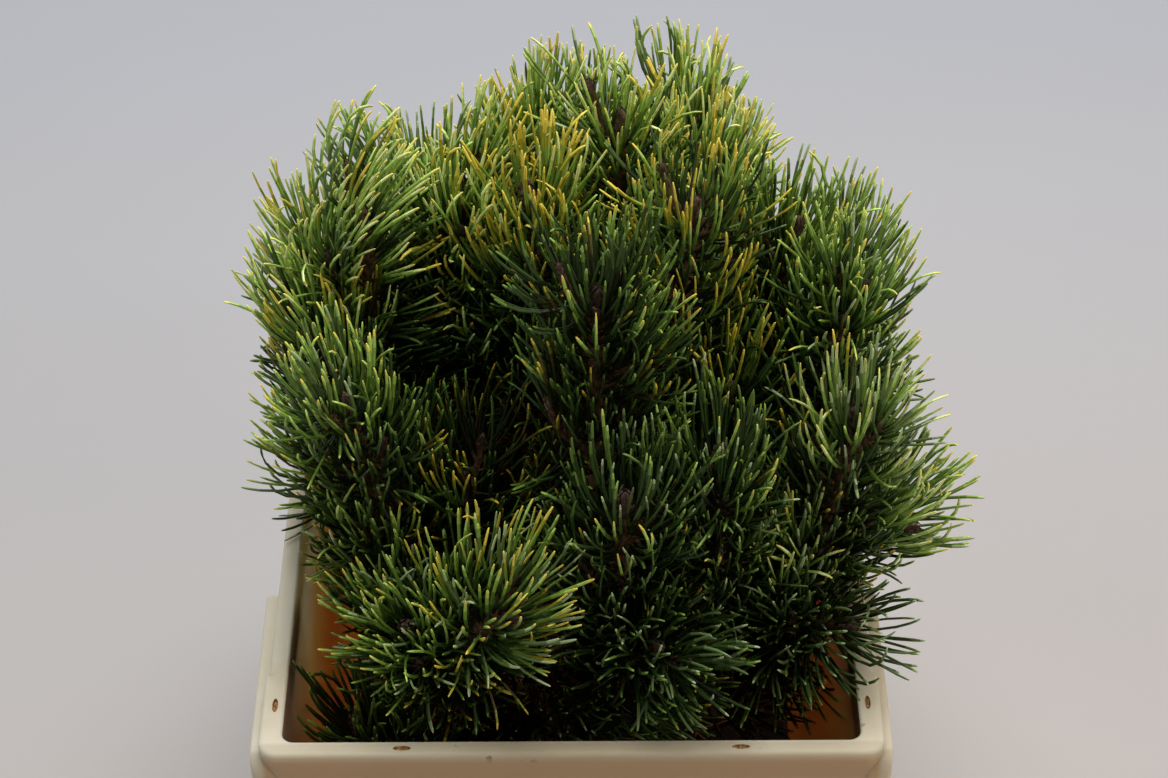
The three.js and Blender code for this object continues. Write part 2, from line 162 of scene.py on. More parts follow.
def leaning(start, towards, degrees):
    """The direction that leaves one unit direction by an angle towards another at right angles to it."""
    angle = np.radians(degrees)
    return start * np.cos(angle) + towards * np.sin(angle)


def full_turn(count):
    """Angles evenly spread round a full turn."""
    return np.arange(count) / count * 2 * math.pi


def spokes(across, other, count):
    """Unit directions round each limb, evenly spread from across towards other."""
    turns = full_turn(count)
    return across[:, None] * np.cos(turns)[:, None] + other[:, None] * np.sin(turns)[:, None]


def seeded_random(seed):
    """The solids' own random rule, so that the side twigs come out the same."""
    mask = 0xFFFFFFFF
    state = seed

    def draw():
        nonlocal state
        state = (state + 0x6D2B79F5) & mask
        mixed = ((state ^ (state >> 15)) * (1 | state)) & mask
        mixed = ((mixed + (((mixed ^ (mixed >> 7)) * (61 | mixed)) & mask)) & mask) ^ mixed
        return ((mixed ^ (mixed >> 14)) & mask) / 4294967296
    return draw


def inner_halves(z):
    """The distances from the upright middle planes to the tub's inner faces, at a height."""
    return np.array(TUB_MOUTH) / 2 - TUB_TAPER * (1 - z / TUB_HEIGHT)


# ---------------- limbs

class Limb:
    """A limb on a cubic curve, measured along its length from the root."""

    TABLE = 200

    def __init__(self, handles, root_radius, tip_radius):
        self.handles = np.array(handles, float)
        self.shares = np.linspace(0, 1, self.TABLE + 1)
        spans = np.linalg.norm(np.diff(self._curve(self.shares), axis=0), axis=1)
        self.travelled = np.concatenate([[0], np.cumsum(spans)])
        self.length = float(self.travelled[-1])
        self.root_radius = root_radius
        self.tip_radius = tip_radius

    def _curve(self, t):
        t = t[..., None]
        a, b, c, d = self.handles
        return (1 - t) ** 3 * a + 3 * (1 - t) ** 2 * t * b + 3 * (1 - t) * t ** 2 * c + t ** 3 * d

    def _share(self, distance):
        return np.asarray(np.interp(np.clip(distance, 0, self.length), self.travelled, self.shares))

    def point(self, distance):
        return self._curve(self._share(distance))

    def tangent(self, distance):
        t = self._share(distance)[..., None]
        a, b, c, d = self.handles
        slope = 3 * (1 - t) ** 2 * (b - a) + 6 * (1 - t) * t * (c - b) + 3 * t ** 2 * (d - c)
        return unit(slope)

    def radius(self, distance):
        return self.root_radius + (self.tip_radius - self.root_radius) * np.asarray(distance) / self.length

    def frames(self, distances):
        """Points, tangents and two cross directions, turned as little as possible along the limb."""
        tangents = self.tangent(distances)
        across = np.empty_like(tangents)
        last = np.array([0.31, 0.87, 0.2])
        for i, tangent in enumerate(tangents):
            last = unit(last - last.dot(tangent) * tangent)
            across[i] = last
        return self.point(distances), tangents, across, np.cross(tangents, across)


def limb_from(start, first, bud, last, root_radius, tip_radius):
    """A limb from its start to its bud, by the directions in which it leaves and arrives."""
    start, bud = np.asarray(start, float), np.asarray(bud, float)
    span = np.linalg.norm(bud - start)
    handles = (start, start + first * span * START_PULL, bud - last * span * END_PULL, bud)
    return Limb(handles, root_radius, tip_radius)


def trunk_limb():
    foot = np.array([*TRUNK_FOOT, SOIL_TOP + GAP])
    knee = np.array([*TRUNK_FOOT, (SOIL_TOP + TRUNK_TOP[2]) / 2])
    top = np.array(TRUNK_TOP)
    handles = (foot, foot + (knee - foot) * 2 / 3, top + (knee - top) * 2 / 3, top)
    return Limb(handles, *TRUNK_RADIUS)


class Shoot:
    """A bough with the needled stem at its end."""

    def __init__(self, name, shoots, trunk):
        carrier_name, along, bud, lean, turn, needled, self.kind = SHOOTS[name]
        self.name = name
        from_trunk = carrier_name == "trunk"
        carrier = trunk if from_trunk else shoots[carrier_name].limb
        reach = trunk.length if from_trunk else shoots[carrier_name].bough_end
        root = reach * along
        start = carrier.point(root)
        level = unit((np.array(bud) - start) * (1, 1, 0))
        first = leaning(UP, level, TRUNK_ANGLE) if from_trunk else unit(carrier.tangent(root) + level)
        x, y, _ = unit((bud[0] - CROWN_AXIS[0], bud[1] - CROWN_AXIS[1], 0))
        cos, sin = math.cos(math.radians(turn)), math.sin(math.radians(turn))
        last = leaning(UP, np.array([x * cos - y * sin, x * sin + y * cos, 0]), lean)
        root_radius = ROOT_RADII["trunk" if from_trunk else "bough"]
        self.limb = limb_from(start, first, bud, last, root_radius, BUD_RADIUS)
        self.bough_end = max(0.0, self.limb.length - needled)
        self.needled = self.limb.length - self.bough_end
        self.twigs, self.finer = [], []


# ---------------- the room each twig keeps to

PIECE_LENGTH = 8.0
TUB_CLEARANCE = 1.5

# A dark hollow between the left shoots and the middle ones, open towards the camera.
HOLLOW_LINE = (np.array([-29.0, -84.0, 388.0]), np.array([-24.0, -130.0, 440.0]))
HOLLOW_RADIUS = 21.0


class Room:
    """The straight lengths of every limb and twig so far, each with its owner."""

    def __init__(self):
        self.starts, self.ends, self.owners, self.bare = [], [], [], []

    def occupy(self, limb, start, end, owner, bare):
        count = max(1, math.ceil((end - start) / PIECE_LENGTH))
        marks = limb.point(np.linspace(start, end, count + 1))
        self.starts.extend(marks[:-1])
        self.ends.extend(marks[1:])
        self.owners.extend([owner] * count)
        self.bare.extend([bare] * count)

    def distances(self, place):
        starts = np.array(self.starts)
        spans = np.array(self.ends) - starts
        shares = np.clip(((place - starts) * spans).sum(1) / np.maximum((spans ** 2).sum(1), 1e-9), 0, 1)
        return np.linalg.norm(place - starts - spans * shares[:, None], axis=1)


def clear_of_tub(places, room):
    """For each place, whether it is above the rim, or inside the mouth and clear of the walls."""
    inside = np.abs(places[..., :2]) < inner_halves(places[..., 2:]) - room - TUB_CLEARANCE
    return (places[..., 2] > TUB_HEIGHT + room) | inside.all(-1)


def from_hollow(places):
    """How far each place is from the middle line of the hollow."""
    start, end = HOLLOW_LINE
    span = end - start
    shares = np.clip((places - start) @ span / span.dot(span), 0, 1)
    return np.linalg.norm(places - start - shares[..., None] * span, axis=-1)


# ---------------- twigs

TWIG_SPACING = 40.0
TWIG_FIRST = 14.0
TWIG_REACH = (34.0, 58.0)
TWIG_ANGLE = 40.0
TWIG_BEND = 0.6
TWIG_SHARE = (0.42, 0.55)        # of the length that its shoot still has before it
TWIG_CLEARANCE = 21.0
LIMB_CLEARANCE = 12.6
TWIG_TRIES = 9
TWIG_RADII = (2.4, 1.9)
GOLDEN_ANGLE = 137.5

FINE_FIRST = 6.0
FINE_SPACING = 17.0
FINE_REACH = (24.0, 36.0)
FINE_CLEARANCE = 13.5
FINE_RADII = (1.8, 1.5)
SPRIG_FIRST = 8.0
# How far down its bough each of the low front shoots still has short twigs.
LOW_SPRIGS = {"front": 70.0, "front_low": 90.0, "right_low": 90.0, "right_front": 60.0, "left_front": 60.0}


def twig_from(frame_at, bearing, length, radii):
    """A twig that leaves a limb at an angle and turns up."""
    point, tangent, across, other = frame_at
    first = leaning(tangent, leaning(across, other, bearing), TWIG_ANGLE)
    last = unit(tangent + first + UP)
    end = point + first * length * TWIG_BEND + last * length * (1 - TWIG_BEND)
    return limb_from(point, first, end, last, *radii)


def twig_has_room(twig, names, room, clearance):
    """Whether a twig keeps off every other. names are those of the limbs that it may be near at its root."""
    own = np.array([owner in names for owner in room.owners])
    wanted = np.where(own | np.array(room.bare), LIMB_CLEARANCE, clearance)
    for share in (0.5, 0.75, 1.0):
        place = twig.point(twig.length * share)
        inside_crown = np.all((place > CROWN_LOW) & (place < CROWN_HIGH))
        if not inside_crown or not clear_of_tub(place, LIMB_CLEARANCE):
            return False
        tight = room.distances(place) <= wanted
        if share == 0.5:
            tight &= ~own
        if tight.any():
            return False
    return True


def grow_twigs(shoot, grown, marks, length_at, fits, radii, room, draw):
    """A twig from each mark, turned on by the golden angle until it fits, or else left out."""
    bearing = draw() * 360
    for distance in marks:
        frame_at = [part[0] for part in shoot.limb.frames([distance])]
        length = length_at(distance)
        for _ in range(TWIG_TRIES):
            bearing += GOLDEN_ANGLE
            twig = twig_from(frame_at, bearing, length, radii)
            if fits(twig):
                grown.append(twig)
                room.occupy(twig, 0, twig.length, f"{shoot.name}/twig", False)
                break


def grow_side_twigs(shoot, room, draw):
    """The side twigs that the solids have too."""
    def length_at(distance):
        share = TWIG_SHARE[0] + (TWIG_SHARE[1] - TWIG_SHARE[0]) * draw()
        return float(np.clip((shoot.limb.length - distance) * share, *TWIG_REACH))

    def fits(twig):
        return twig_has_room(twig, (shoot.name,), room, TWIG_CLEARANCE)

    marks = shoot.bough_end + np.arange(TWIG_FIRST, shoot.needled - TWIG_SPACING, TWIG_SPACING)
    grow_twigs(shoot, shoot.twigs, marks, length_at, fits, TWIG_RADII, room, draw)


def grow_finer_twigs(shoot, start, end, names, room, draw):
    """Short twigs along part of a shoot, wherever the crown still has room for them."""
    def length_at(distance):
        return FINE_REACH[0] + (FINE_REACH[1] - FINE_REACH[0]) * draw()

    def fits(twig):
        clear = from_hollow(twig.point(twig.length)) > HOLLOW_RADIUS
        return clear and twig_has_room(twig, names, room, FINE_CLEARANCE)

    marks = np.arange(start, end, FINE_SPACING)
    grow_twigs(shoot, shoot.finer, marks, length_at, fits, FINE_RADII, room, draw)


def grow_plant():
    """The trunk, and every shoot with its twigs."""
    trunk = trunk_limb()
    shoots = {}
    for name in SHOOTS:
        shoots[name] = Shoot(name, shoots, trunk)
    draw = seeded_random(SEED)
    room = Room()
    room.occupy(trunk, 0, trunk.length, "trunk", True)
    for name, shoot in shoots.items():
        if shoot.bough_end > 0:
            room.occupy(shoot.limb, 0, shoot.bough_end, f"bough_{name}", True)
        room.occupy(shoot.limb, shoot.bough_end, shoot.limb.length, name, False)
    for shoot in shoots.values():
        grow_side_twigs(shoot, room, draw)
    for name, shoot in shoots.items():
        start, end = shoot.bough_end + FINE_FIRST, shoot.limb.length - FINE_FIRST
        grow_finer_twigs(shoot, start, end, (name,), room, draw)
    for name, reach in LOW_SPRIGS.items():
        end = shoots[name].bough_end
        start = max(SPRIG_FIRST, end - reach)
        grow_finer_twigs(shoots[name], start, end, (name, f"bough_{name}"), room, draw)
    return trunk, shoots


# ---------------- meshes

def place_object(name, data):
    placed = bpy.data.objects.new(name, data)
    bpy.context.scene.collection.objects.link(placed)
    return placed


def skin_quads(rings, sides):
    """The corners of the quads that join rings of equal count, one to the next."""
    ring, side = np.meshgrid(np.arange(rings - 1), np.arange(sides), indexing="ij")
    low, beside = ring * sides, (side + 1) % sides
    return np.stack([low + side, low + beside, low + sides + beside, low + sides + side], -1).reshape(-1, 4)


class Shell:
    """Points, quads and triangles of one piece, gathered bit by bit, with a tint for each face."""

    def __init__(self):
        self.points, self.quads, self.triangles = [], [], []
        self.quad_tints, self.triangle_tints = [], []
        self.count = 0

    def add(self, points, quads=(), triangles=(), quad_tint=0, triangle_tint=0):
        points = np.asarray(points, float).reshape(-1, 3)
        quads = np.asarray(quads, np.int64).reshape(-1, 4)
        triangles = np.asarray(triangles, np.int64).reshape(-1, 3)
        self.points.append(points)
        self.quads.append(quads + self.count)
        self.triangles.append(triangles + self.count)
        self.quad_tints.append(np.broadcast_to(quad_tint, len(quads)))
        self.triangle_tints.append(np.broadcast_to(triangle_tint, len(triangles)))
        self.count += len(points)

    def add_tube(self, rings, tint=0, last_cap=True, tip=None):
        """Rings of equal count joined into a skin, with a fan over each capped end."""
        rings = np.asarray(rings, float)
        steps, sides = rings.shape[:2]
        middles = [rings[0].mean(0), rings[-1].mean(0) if tip is None else tip]
        first, top = steps * sides, (steps - 1) * sides
        around = np.arange(sides)
        after = (around + 1) % sides
        fans = np.stack([np.full(sides, first), after, around], -1)
        if last_cap:
            last_fan = np.stack([np.full(sides, first + 1), top + around, top + after], -1)
            fans = np.concatenate([fans, last_fan])
        self.add(np.concatenate([rings.reshape(-1, 3), middles]), skin_quads(steps, sides), fans, tint, tint)

    def piece(self, name, materials):
        quads, triangles = np.concatenate(self.quads), np.concatenate(self.triangles)
        mesh = bpy.data.meshes.new(name)
        mesh.vertices.add(self.count)
        mesh.vertices.foreach_set("co", (np.concatenate(self.points) * MM).ravel())
        mesh.loops.add(quads.size + triangles.size)
        mesh.loops.foreach_set("vertex_index", np.concatenate([quads.ravel(), triangles.ravel()]))
        mesh.polygons.add(len(quads) + len(triangles))
        starts = np.concatenate([np.arange(len(quads)) * 4, quads.size + np.arange(len(triangles)) * 3])
        mesh.polygons.foreach_set("loop_start", starts)
        tints = np.concatenate(self.quad_tints + self.triangle_tints)
        mesh.polygons.foreach_set("material_index", tints.astype(np.int32))
        mesh.polygons.foreach_set("use_smooth", np.full(len(tints), True))
        for material in materials:
            mesh.materials.append(material)
        mesh.update(calc_edges=True)
        mesh.validate()
        return place_object(name, mesh)


def limb_rings(limb, distances, radii, sides):
    """Rings of points round a limb; radii is one value, one for each ring or one for each point."""
    points, _, across, other = limb.frames(distances)
    radii = np.asarray(radii, float)
    radii = np.broadcast_to(radii[:, None] if radii.ndim == 1 else radii, (len(points), sides))
    return points[:, None] + spokes(across, other, sides) * radii[..., None]


# ---------------- tints and how sprays take them

TINTS = {
    "rust": (128, 76, 30),
    "straw": (176, 140, 72),
    "night": (28, 40, 14),
    "shade": (54, 78, 32),
    "sea": (100, 122, 70),
    "sea_light": (166, 186, 134),
    "leaf": (98, 128, 48),
    "leaf_mid": (142, 176, 74),
    "leaf_light": (184, 212, 108),
    # spring_light is partly the pale tips' own colour and partly painted sheen.
    "spring_light": (230, 242, 160),
    "ripe": (226, 222, 100),
    "moss": (130, 132, 38),
    "moss_light": (164, 162, 48),
    "gilt": (206, 190, 60),
    "gold": (234, 212, 84),
    "amber": (212, 182, 54),
    "lemon": (230, 224, 118),
    "olive": (44, 42, 14),
    "olive_light": (80, 70, 22),
}
TINT_NAMES = list(TINTS)

# Tints of a needle from its root to its tip. The dark tints at the roots are painted shade, and so are
# the deep, dusk, dusk_sea and dark ramps, for needles in the crown's shade.
RAMPS = {
    "fresh": "night shade leaf leaf_mid leaf_light ripe",
    "bright": "shade leaf leaf_mid leaf_light spring_light lemon",
    "green": "night shade leaf leaf leaf_mid leaf_light",
    "tipped": "night shade leaf leaf_mid leaf_light gold",
    "golden": "night leaf leaf moss_light gilt gold",
    "half_gold": "shade leaf leaf_mid moss_light gold gold",
    "bluish": "night shade sea sea sea_light sea_light",
    "dull": "night shade shade sea sea sea",
    "deep": "night night shade shade leaf leaf",
    "dusk": "night night shade shade leaf leaf_mid",
    "dusk_sea": "night night shade shade sea sea_light",
    "dark": "night night night shade shade leaf",
    "olive": "night olive olive olive_light moss amber",
    "rusty": "rust rust rust rust straw straw",
}
RAMP_NAMES = list(RAMPS)
RAMP_PLACES = [0, 1, 2, 3, 4, 5, 5]      # which of a ramp's tints each length of a needle takes

# Kinds of spray: the degrees by which a needle turns away from its stem over its length, then the
# shares of each ramp at the foot of the stem and at its tip. The shares are partly the needles' own
# tones and partly painted light and shade: the pale kind of the lit top shoots leans to the bright
# ramp as painted light, and the dark ramps at the feet of stems and the dusky, blue, deep and dark
# kinds of shoots in shade are painted shade.
SPRAYS = {
    "fresh": (-36, {"green": 5, "deep": 2, "fresh": 2, "bluish": 1},
              {"fresh": 6, "bright": 3, "half_gold": 1}),
    "pale": (-32, {"green": 3, "fresh": 5, "bluish": 1},
             {"bright": 7, "fresh": 2, "half_gold": 2}),
    "spray": (-24, {"bluish": 4, "green": 4, "tipped": 2},
              {"fresh": 3, "tipped": 3, "half_gold": 3, "bluish": 2}),
    "silver": (-36, {"bluish": 5, "green": 3, "deep": 2},
               {"bright": 8, "bluish": 3, "half_gold": 1}),
    "green": (-44, {"green": 4, "deep": 3, "bluish": 2},
              {"green": 3, "fresh": 3, "tipped": 2, "bluish": 1}),
    "gold": (-38, {"green": 3, "deep": 1, "golden": 3, "half_gold": 2},
             {"golden": 5, "half_gold": 6, "bright": 1}),
    "gilded": (-40, {"dark": 6, "deep": 4},
               {"golden": 4, "half_gold": 3, "tipped": 4, "dusk": 1}),
    "dusky": (-40, {"dark": 5, "deep": 5, "dusk": 1},
              {"dusk": 6, "tipped": 2, "deep": 2, "green": 1}),
    "blue": (-48, {"dark": 3, "deep": 5, "dull": 2},
             {"dusk_sea": 4, "dusk": 4, "deep": 2, "green": 1, "tipped": 1}),
    "deep": (-46, {"dark": 4, "deep": 3, "dull": 2},
             {"dusk_sea": 5, "dusk": 3, "dull": 3}),
    "dark": (-40, {"dark": 5, "deep": 1}, {"dark": 3, "deep": 2}),
    # painted shade: the ramps that the most sheltered needles take
    "inner": (-40, {"dark": 6, "deep": 2, "olive": 1}, {"dark": 6, "deep": 2, "olive": 1}),
    "olive": (-36, {"deep": 4, "olive": 3, "rusty": 1},
              {"olive": 5, "dusk": 3, "tipped": 1, "golden": 1}),
}
KIND_NAMES = list(SPRAYS)

SHADE_CELL = 12.0
SHADE_REACHES = (30.0, 50.0, 70.0)       # how far off the needles are counted that shade a place
SHADE_COVER = (13.0, 92.0)               # counts at which the shade sets in and is full
SHADE_OVERHEAD = 60.0                    # nearer the trunk than this, more of them are sought overhead
HOLLOW_SHADE = 60.0                      # distance over which the hollow's own shade fades


def shelter(places):
    """From 0 in the open to 1 deep in the crown and next to the hollow, by the needles outward of each place
    and over it. It sets how much painted shade a needle's tints take.
    """
    corner = places.min(0) - 2 * SHADE_CELL
    index = ((places - corner) / SHADE_CELL).astype(int)
    counts = np.zeros(index.max(0) + 12)
    np.add.at(counts, tuple(index.T), 1)
    for axis in range(3):
        counts = counts + np.roll(counts, 1, axis) + np.roll(counts, -1, axis)
    outward = np.column_stack([places[:, :2] - TRUNK_FOOT, np.zeros(len(places))])
    outward = outward / np.maximum(np.linalg.norm(outward, axis=1, keepdims=True), SHADE_OVERHEAD)
    heading = unit(0.7 * outward + UP)
    cover = np.zeros(len(places))
    for reach in SHADE_REACHES:
        index = ((places + heading * reach - corner) / SHADE_CELL).astype(int)
        cover += counts[tuple(np.clip(index, 0, np.array(counts.shape) - 1).T)]
    hollow = 1 - (from_hollow(places) - HOLLOW_RADIUS) / HOLLOW_SHADE
    return np.clip(np.maximum((cover - SHADE_COVER[0]) / (SHADE_COVER[1] - SHADE_COVER[0]), hollow), 0, 1)


def deal_ramps(rows, rng):
    """The tints of each needle, dealt by its spray's kind, its place along the stem and its shelter."""
    chances = np.zeros((len(KIND_NAMES), 2, len(RAMP_NAMES)))
    for k, (_, *ends) in enumerate(SPRAYS.values()):
        for end, shares in enumerate(ends):
            for ramp, share in shares.items():
                chances[k, end, RAMP_NAMES.index(ramp)] = share
            chances[k, end] /= chances[k, end].sum()
    kinds = np.array([KIND_NAMES.index(kind) for kind in rows["kind"]])
    share = rows["share"][:, None]
    mixed = chances[kinds, 0] * (1 - share) + chances[kinds, 1] * share
    # Painted shade: the more sheltered a needle, the more it takes the dark ramps of the inner kind.
    shaded = rows["shelter"][:, None]
    mixed = mixed * (1 - shaded) + chances[KIND_NAMES.index("inner"), 0] * shaded
    pair_draw = np.repeat(rng.random(len(kinds) // 2), 2)
    chosen = (mixed.cumsum(1) < pair_draw[:, None]).sum(1).clip(0, len(RAMP_NAMES) - 1)
    withered = np.repeat(rng.random(len(kinds) // 2), 2) < rows["old"]
    chosen[withered] = RAMP_NAMES.index("rusty")
    table = np.array([[TINT_NAMES.index(tint) for tint in ramp.split()] for ramp in RAMPS.values()])
    return table[chosen][:, RAMP_PLACES]


# ---------------- needles

NEEDLE_LENGTH = 53.5
NEEDLE_SPREAD = (0.84, 1.0)
NEEDLE_HALF_WIDTH = 0.80
NEEDLE_THICKNESS = 0.92
NEEDLE_MARKS = np.array([0.0, 0.20, 0.42, 0.64, 0.82, 0.93, 0.985, 1.0])
NEEDLE_PROFILE = np.array([0.7, 0.95, 1.0, 1.0, 0.96, 0.86, 0.56])
NEEDLE_SECTION = np.array([[1.0, 0.0], [0.0, 1.1], [-1.0, 0.0]])
SECTION_MIDDLE = 0.4
NEEDLE_STEPS = 16
ANGLES = (58.0, 34.0, 8.0)       # degrees from the stem: at its foot, near its end, round its bud
ROSETTE = 26.0
PAIR_SPLIT = (3.0, 10.0)         # degrees between the two needles of a pair and their middle
LIFT = 0.36                      # how strongly needles turn up
ROOT_DEPTH = 0.8                 # how far out in its stem a pair is rooted, as a share of the radius
HOOK_CHANCE = (0.42, 0.28)       # at the foot of a stem, and how much lower at its end
HOOK_BACK = 0.75                 # share of the hooks that turn back to the stem
HOOK_ANGLES = (30, 105)
MARK_JITTER = 0.4                # as a share of the spacing
BEARING_JITTER = 9.0             # this and the next four in degrees
SPRAY_BEND_JITTER = 10.0
BEND_JITTER = 9.0
ANGLE_JITTER = 4.0
NEEDLE_BEND_JITTER = 4.0
SWAY = (0.20, 0.04)              # of a pair, and of each needle, to the side over its length

# The way all the needles of a shoot are combed, and the shoots whose needles part over their stem
# on the side that the photo shows, with the share that is missing there.
SWEEPS = {
    "left_top": (0.95, -0.15, -0.2),
    "left_middle": (0.2, 0.0, 0.0),
    "front_low": (0.1, -0.2, -0.4),
    "right_low": (-0.1, -0.25, -0.4),
}
PARTED = {"left_top": 0.7, "right_front": 0.7, "left_front": 0.6, "gold_right": 0.4, "front": 0.3}
VIEWER_SIDE = np.array([0.0, -0.763, 0.646])
PARTING = 0.72

REACH_LOW = np.array(cad_bounds[0]) / MM - (5.0, 5.0, 0.0)
REACH_HIGH = np.array(cad_bounds[1]) / MM + (5.0, 5.0, 9.0)
ABOVE_SOIL = 4.0
OFF_TUB = 1.2

NEEDLE_GROUPS = 5
STEM_SPACING = 0.85
TWIG_NEEDLE_SPACING = 1.02
FINE_NEEDLE_SPACING = 1.25
BUD_CLEAR = 4.5                  # bare length below the end bud
STEM_BARE = 2.0                  # bare length at the foot of a needled stem
TWIG_BARE = (6.0, 3.0)           # bare lengths at the foot and at the tip of a side twig
FINE_BARE = (5.0, 2.0)
TWIG_VIGOUR = 0.94               # needles' length on a side twig, as a share of that on a main stem
FINE_VIGOUR = 0.84
OLD_REACH = 55.0                 # how far down a bough needles of past years stay on
OLD_SPACING = 3.2
OLD_VIGOUR = 0.9
OLD_WIDER = 8.0                  # degrees
OLD_WITHERED = 0.35


def needle_rows(rng, limb, start, end, spacing, group, kind, name="", vigour=1.0, wider=0.0, old=0.0):
    """Where the pairs of needles spring in a spiral along a limb. old is the chance that one is withered."""
    marks = np.arange(start, end, spacing)
    count = len(marks)
    marks = marks + rng.uniform(-MARK_JITTER, MARK_JITTER, count) * spacing
    points, tangents, across, other = limb.frames(marks)
    bearings = np.arange(count) * GOLDEN_ANGLE + rng.normal(0, BEARING_JITTER, count) + rng.uniform(0, 360)
    bearings = np.radians(bearings)[:, None]
    outward = across * np.cos(bearings) + other * np.sin(bearings)
    share = (marks - start) / (end - start)
    near_bud = np.clip(1 - (limb.length - marks) / ROSETTE, 0, 1)
    angle = ANGLES[0] + (ANGLES[1] - ANGLES[0]) * share
    angle = angle + (ANGLES[2] - angle) * near_bud + wider
    bend = SPRAYS[kind][0] + rng.normal(0, SPRAY_BEND_JITTER) + rng.normal(0, BEND_JITTER, count)
    bend = bend * (1 - 0.5 * near_bud)
    angle = angle - bend / 2 + rng.normal(0, ANGLE_JITTER, count)
    length = NEEDLE_LENGTH * vigour * rng.uniform(*NEEDLE_SPREAD, count)
    length = length * (0.86 + 0.14 * np.clip(share * 3, 0, 1) + 0.08 * near_bud)
    parted = (outward @ VIEWER_SIDE > PARTING) & (rng.random(count) < PARTED.get(name, 0.0))
    rows = {
        "point": points + outward * limb.radius(marks)[:, None] * ROOT_DEPTH,
        "tangent": tangents,
        "outward": outward,
        "angle": angle,
        "bend": bend,
        "length": length,
        "share": share,
        "group": np.full(count, group),
        "kind": np.full(count, kind),
        "old": np.full(count, old),
        "sweep": np.tile(SWEEPS.get(name, (0.0, 0.0, 0.0)), (count, 1)),
    }
    return {key: value[~parted] for key, value in rows.items()}


def gather_needles(shoots, rng):
    """The rows of every needled stem and twig, put together."""
    rows = []
    for index, (name, shoot) in enumerate(shoots.items()):
        limb, foot = shoot.limb, shoot.bough_end
        group = index % NEEDLE_GROUPS
        spray = group, shoot.kind, name
        rows.append(needle_rows(rng, limb, foot + STEM_BARE, limb.length - BUD_CLEAR, STEM_SPACING, *spray))
        if foot > OLD_REACH:
            rows.append(needle_rows(rng, limb, foot - OLD_REACH, foot, OLD_SPACING, group, "olive",
                                    vigour=OLD_VIGOUR, wider=OLD_WIDER, old=OLD_WITHERED))
        for twigs, bare, spacing, vigour in (
                (shoot.twigs, TWIG_BARE, TWIG_NEEDLE_SPACING, TWIG_VIGOUR),
                (shoot.finer, FINE_BARE, FINE_NEEDLE_SPACING, FINE_VIGOUR)):
            for twig in twigs:
                rows.append(needle_rows(rng, twig, bare[0], twig.length - bare[1], spacing, *spray, vigour))
    return {key: np.concatenate([row[key] for row in rows]) for key in rows[0]}


def grow_lines(rows, rng):
    """The middle line of each needle (two to a pair), and the direction its round side faces."""
    rows = {key: np.repeat(value, 2, axis=0) for key, value in rows.items()}
    count = len(rows["angle"])
    side = np.tile([1.0, -1.0], count // 2)
    turn = np.repeat(rng.uniform(0, math.pi, count // 2), 2)
    split = np.tan(np.radians(rng.uniform(*PAIR_SPLIT, count))) * side
    bend = np.radians(rows["bend"] + rng.normal(0, NEEDLE_BEND_JITTER, count))
    hooked = rng.random(count) < HOOK_CHANCE[0] - HOOK_CHANCE[1] * rows["share"]
    hook = rng.uniform(*HOOK_ANGLES, count) * np.where(rng.random(count) < HOOK_BACK, -1, 1)
    hook = np.radians(hook) * hooked
    sway = np.repeat(rng.normal(0, SWAY[0], count // 2), 2) + rng.normal(0, SWAY[1], count)
    angle = np.radians(rows["angle"])
    tangent, outward = rows["tangent"], rows["outward"]
    beside = np.cross(tangent, outward)
    slant = -np.sin(angle)[:, None] * tangent + np.cos(angle)[:, None] * outward
    apart = np.cos(turn)[:, None] * beside + np.sin(turn)[:, None] * slant
    line = [rows["point"]]
    for step in range(NEEDLE_STEPS):
        t = (step + 0.5) / NEEDLE_STEPS
        swing = angle + bend * t + hook * t ** 3
        heading = np.cos(swing)[:, None] * tangent + np.sin(swing)[:, None] * outward
        heading = heading + (split * (0.5 + 0.8 * t))[:, None] * apart
        heading = heading + (sway * t)[:, None] * beside + t * (LIFT * UP + rows["sweep"])
        line.append(line[-1] + unit(heading) * (rows["length"] / NEEDLE_STEPS)[:, None])
    line = np.stack(line, 1)
    marks = NEEDLE_MARKS * NEEDLE_STEPS
    low = np.minimum(marks.astype(int), NEEDLE_STEPS - 1)
    line = line[:, low] + (line[:, low + 1] - line[:, low]) * (marks - low)[None, :, None]
    return rows, line, apart * side[:, None]


def in_the_open(line):
    """Whether each needle stays within reach of the solids' box, clear of the tub and out of the hollow."""
    clear = clear_of_tub(line, OFF_TUB).all(1)
    above_soil = line[..., 2].min(1) > SOIL_TOP + ABOVE_SOIL
    inside = ((line > REACH_LOW) & (line < REACH_HIGH)).all((1, 2))
    return clear & above_soil & inside & (from_hollow(line).min(1) > HOLLOW_RADIUS)


def needle_skins(shell, line, facing, ramps):
    """Adds a needle of half-round section round each middle line, tinted along its length."""
    count, marks = line.shape[:2]
    ahead = unit(np.gradient(line, axis=1))
    facing = unit(facing[:, None] - (facing[:, None] * ahead).sum(-1, keepdims=True) * ahead)
    across = np.cross(facing, ahead)
    sides = len(NEEDLE_SECTION)
    width = NEEDLE_PROFILE * NEEDLE_HALF_WIDTH
    depth = NEEDLE_PROFILE * NEEDLE_THICKNESS
    wide = width[:, None] * NEEDLE_SECTION[:, 0]
    deep = depth[:, None] * (NEEDLE_SECTION[:, 1] - SECTION_MIDDLE)
    rings = line[:, :-1, None] + across[:, :-1, None] * wide[..., None]
    rings = rings + facing[:, :-1, None] * deep[..., None]
    points = np.concatenate([rings.reshape(count, -1, 3), line[:, -1:]], 1)
    top = (marks - 2) * sides
    around = np.arange(sides)
    tips = np.stack([top + around, top + (around + 1) % sides, np.full(sides, top + sides)], -1)
    offsets = np.arange(count)[:, None, None] * points.shape[1]
    quad_tints = np.repeat(ramps[:, :marks - 2], sides, axis=1)
    tip_tints = np.repeat(ramps[:, marks - 2:marks - 1], sides, axis=1)
    quads = skin_quads(marks - 1, sides)
    shell.add(points, quads + offsets, tips + offsets, quad_tints.ravel(), tip_tints.ravel())


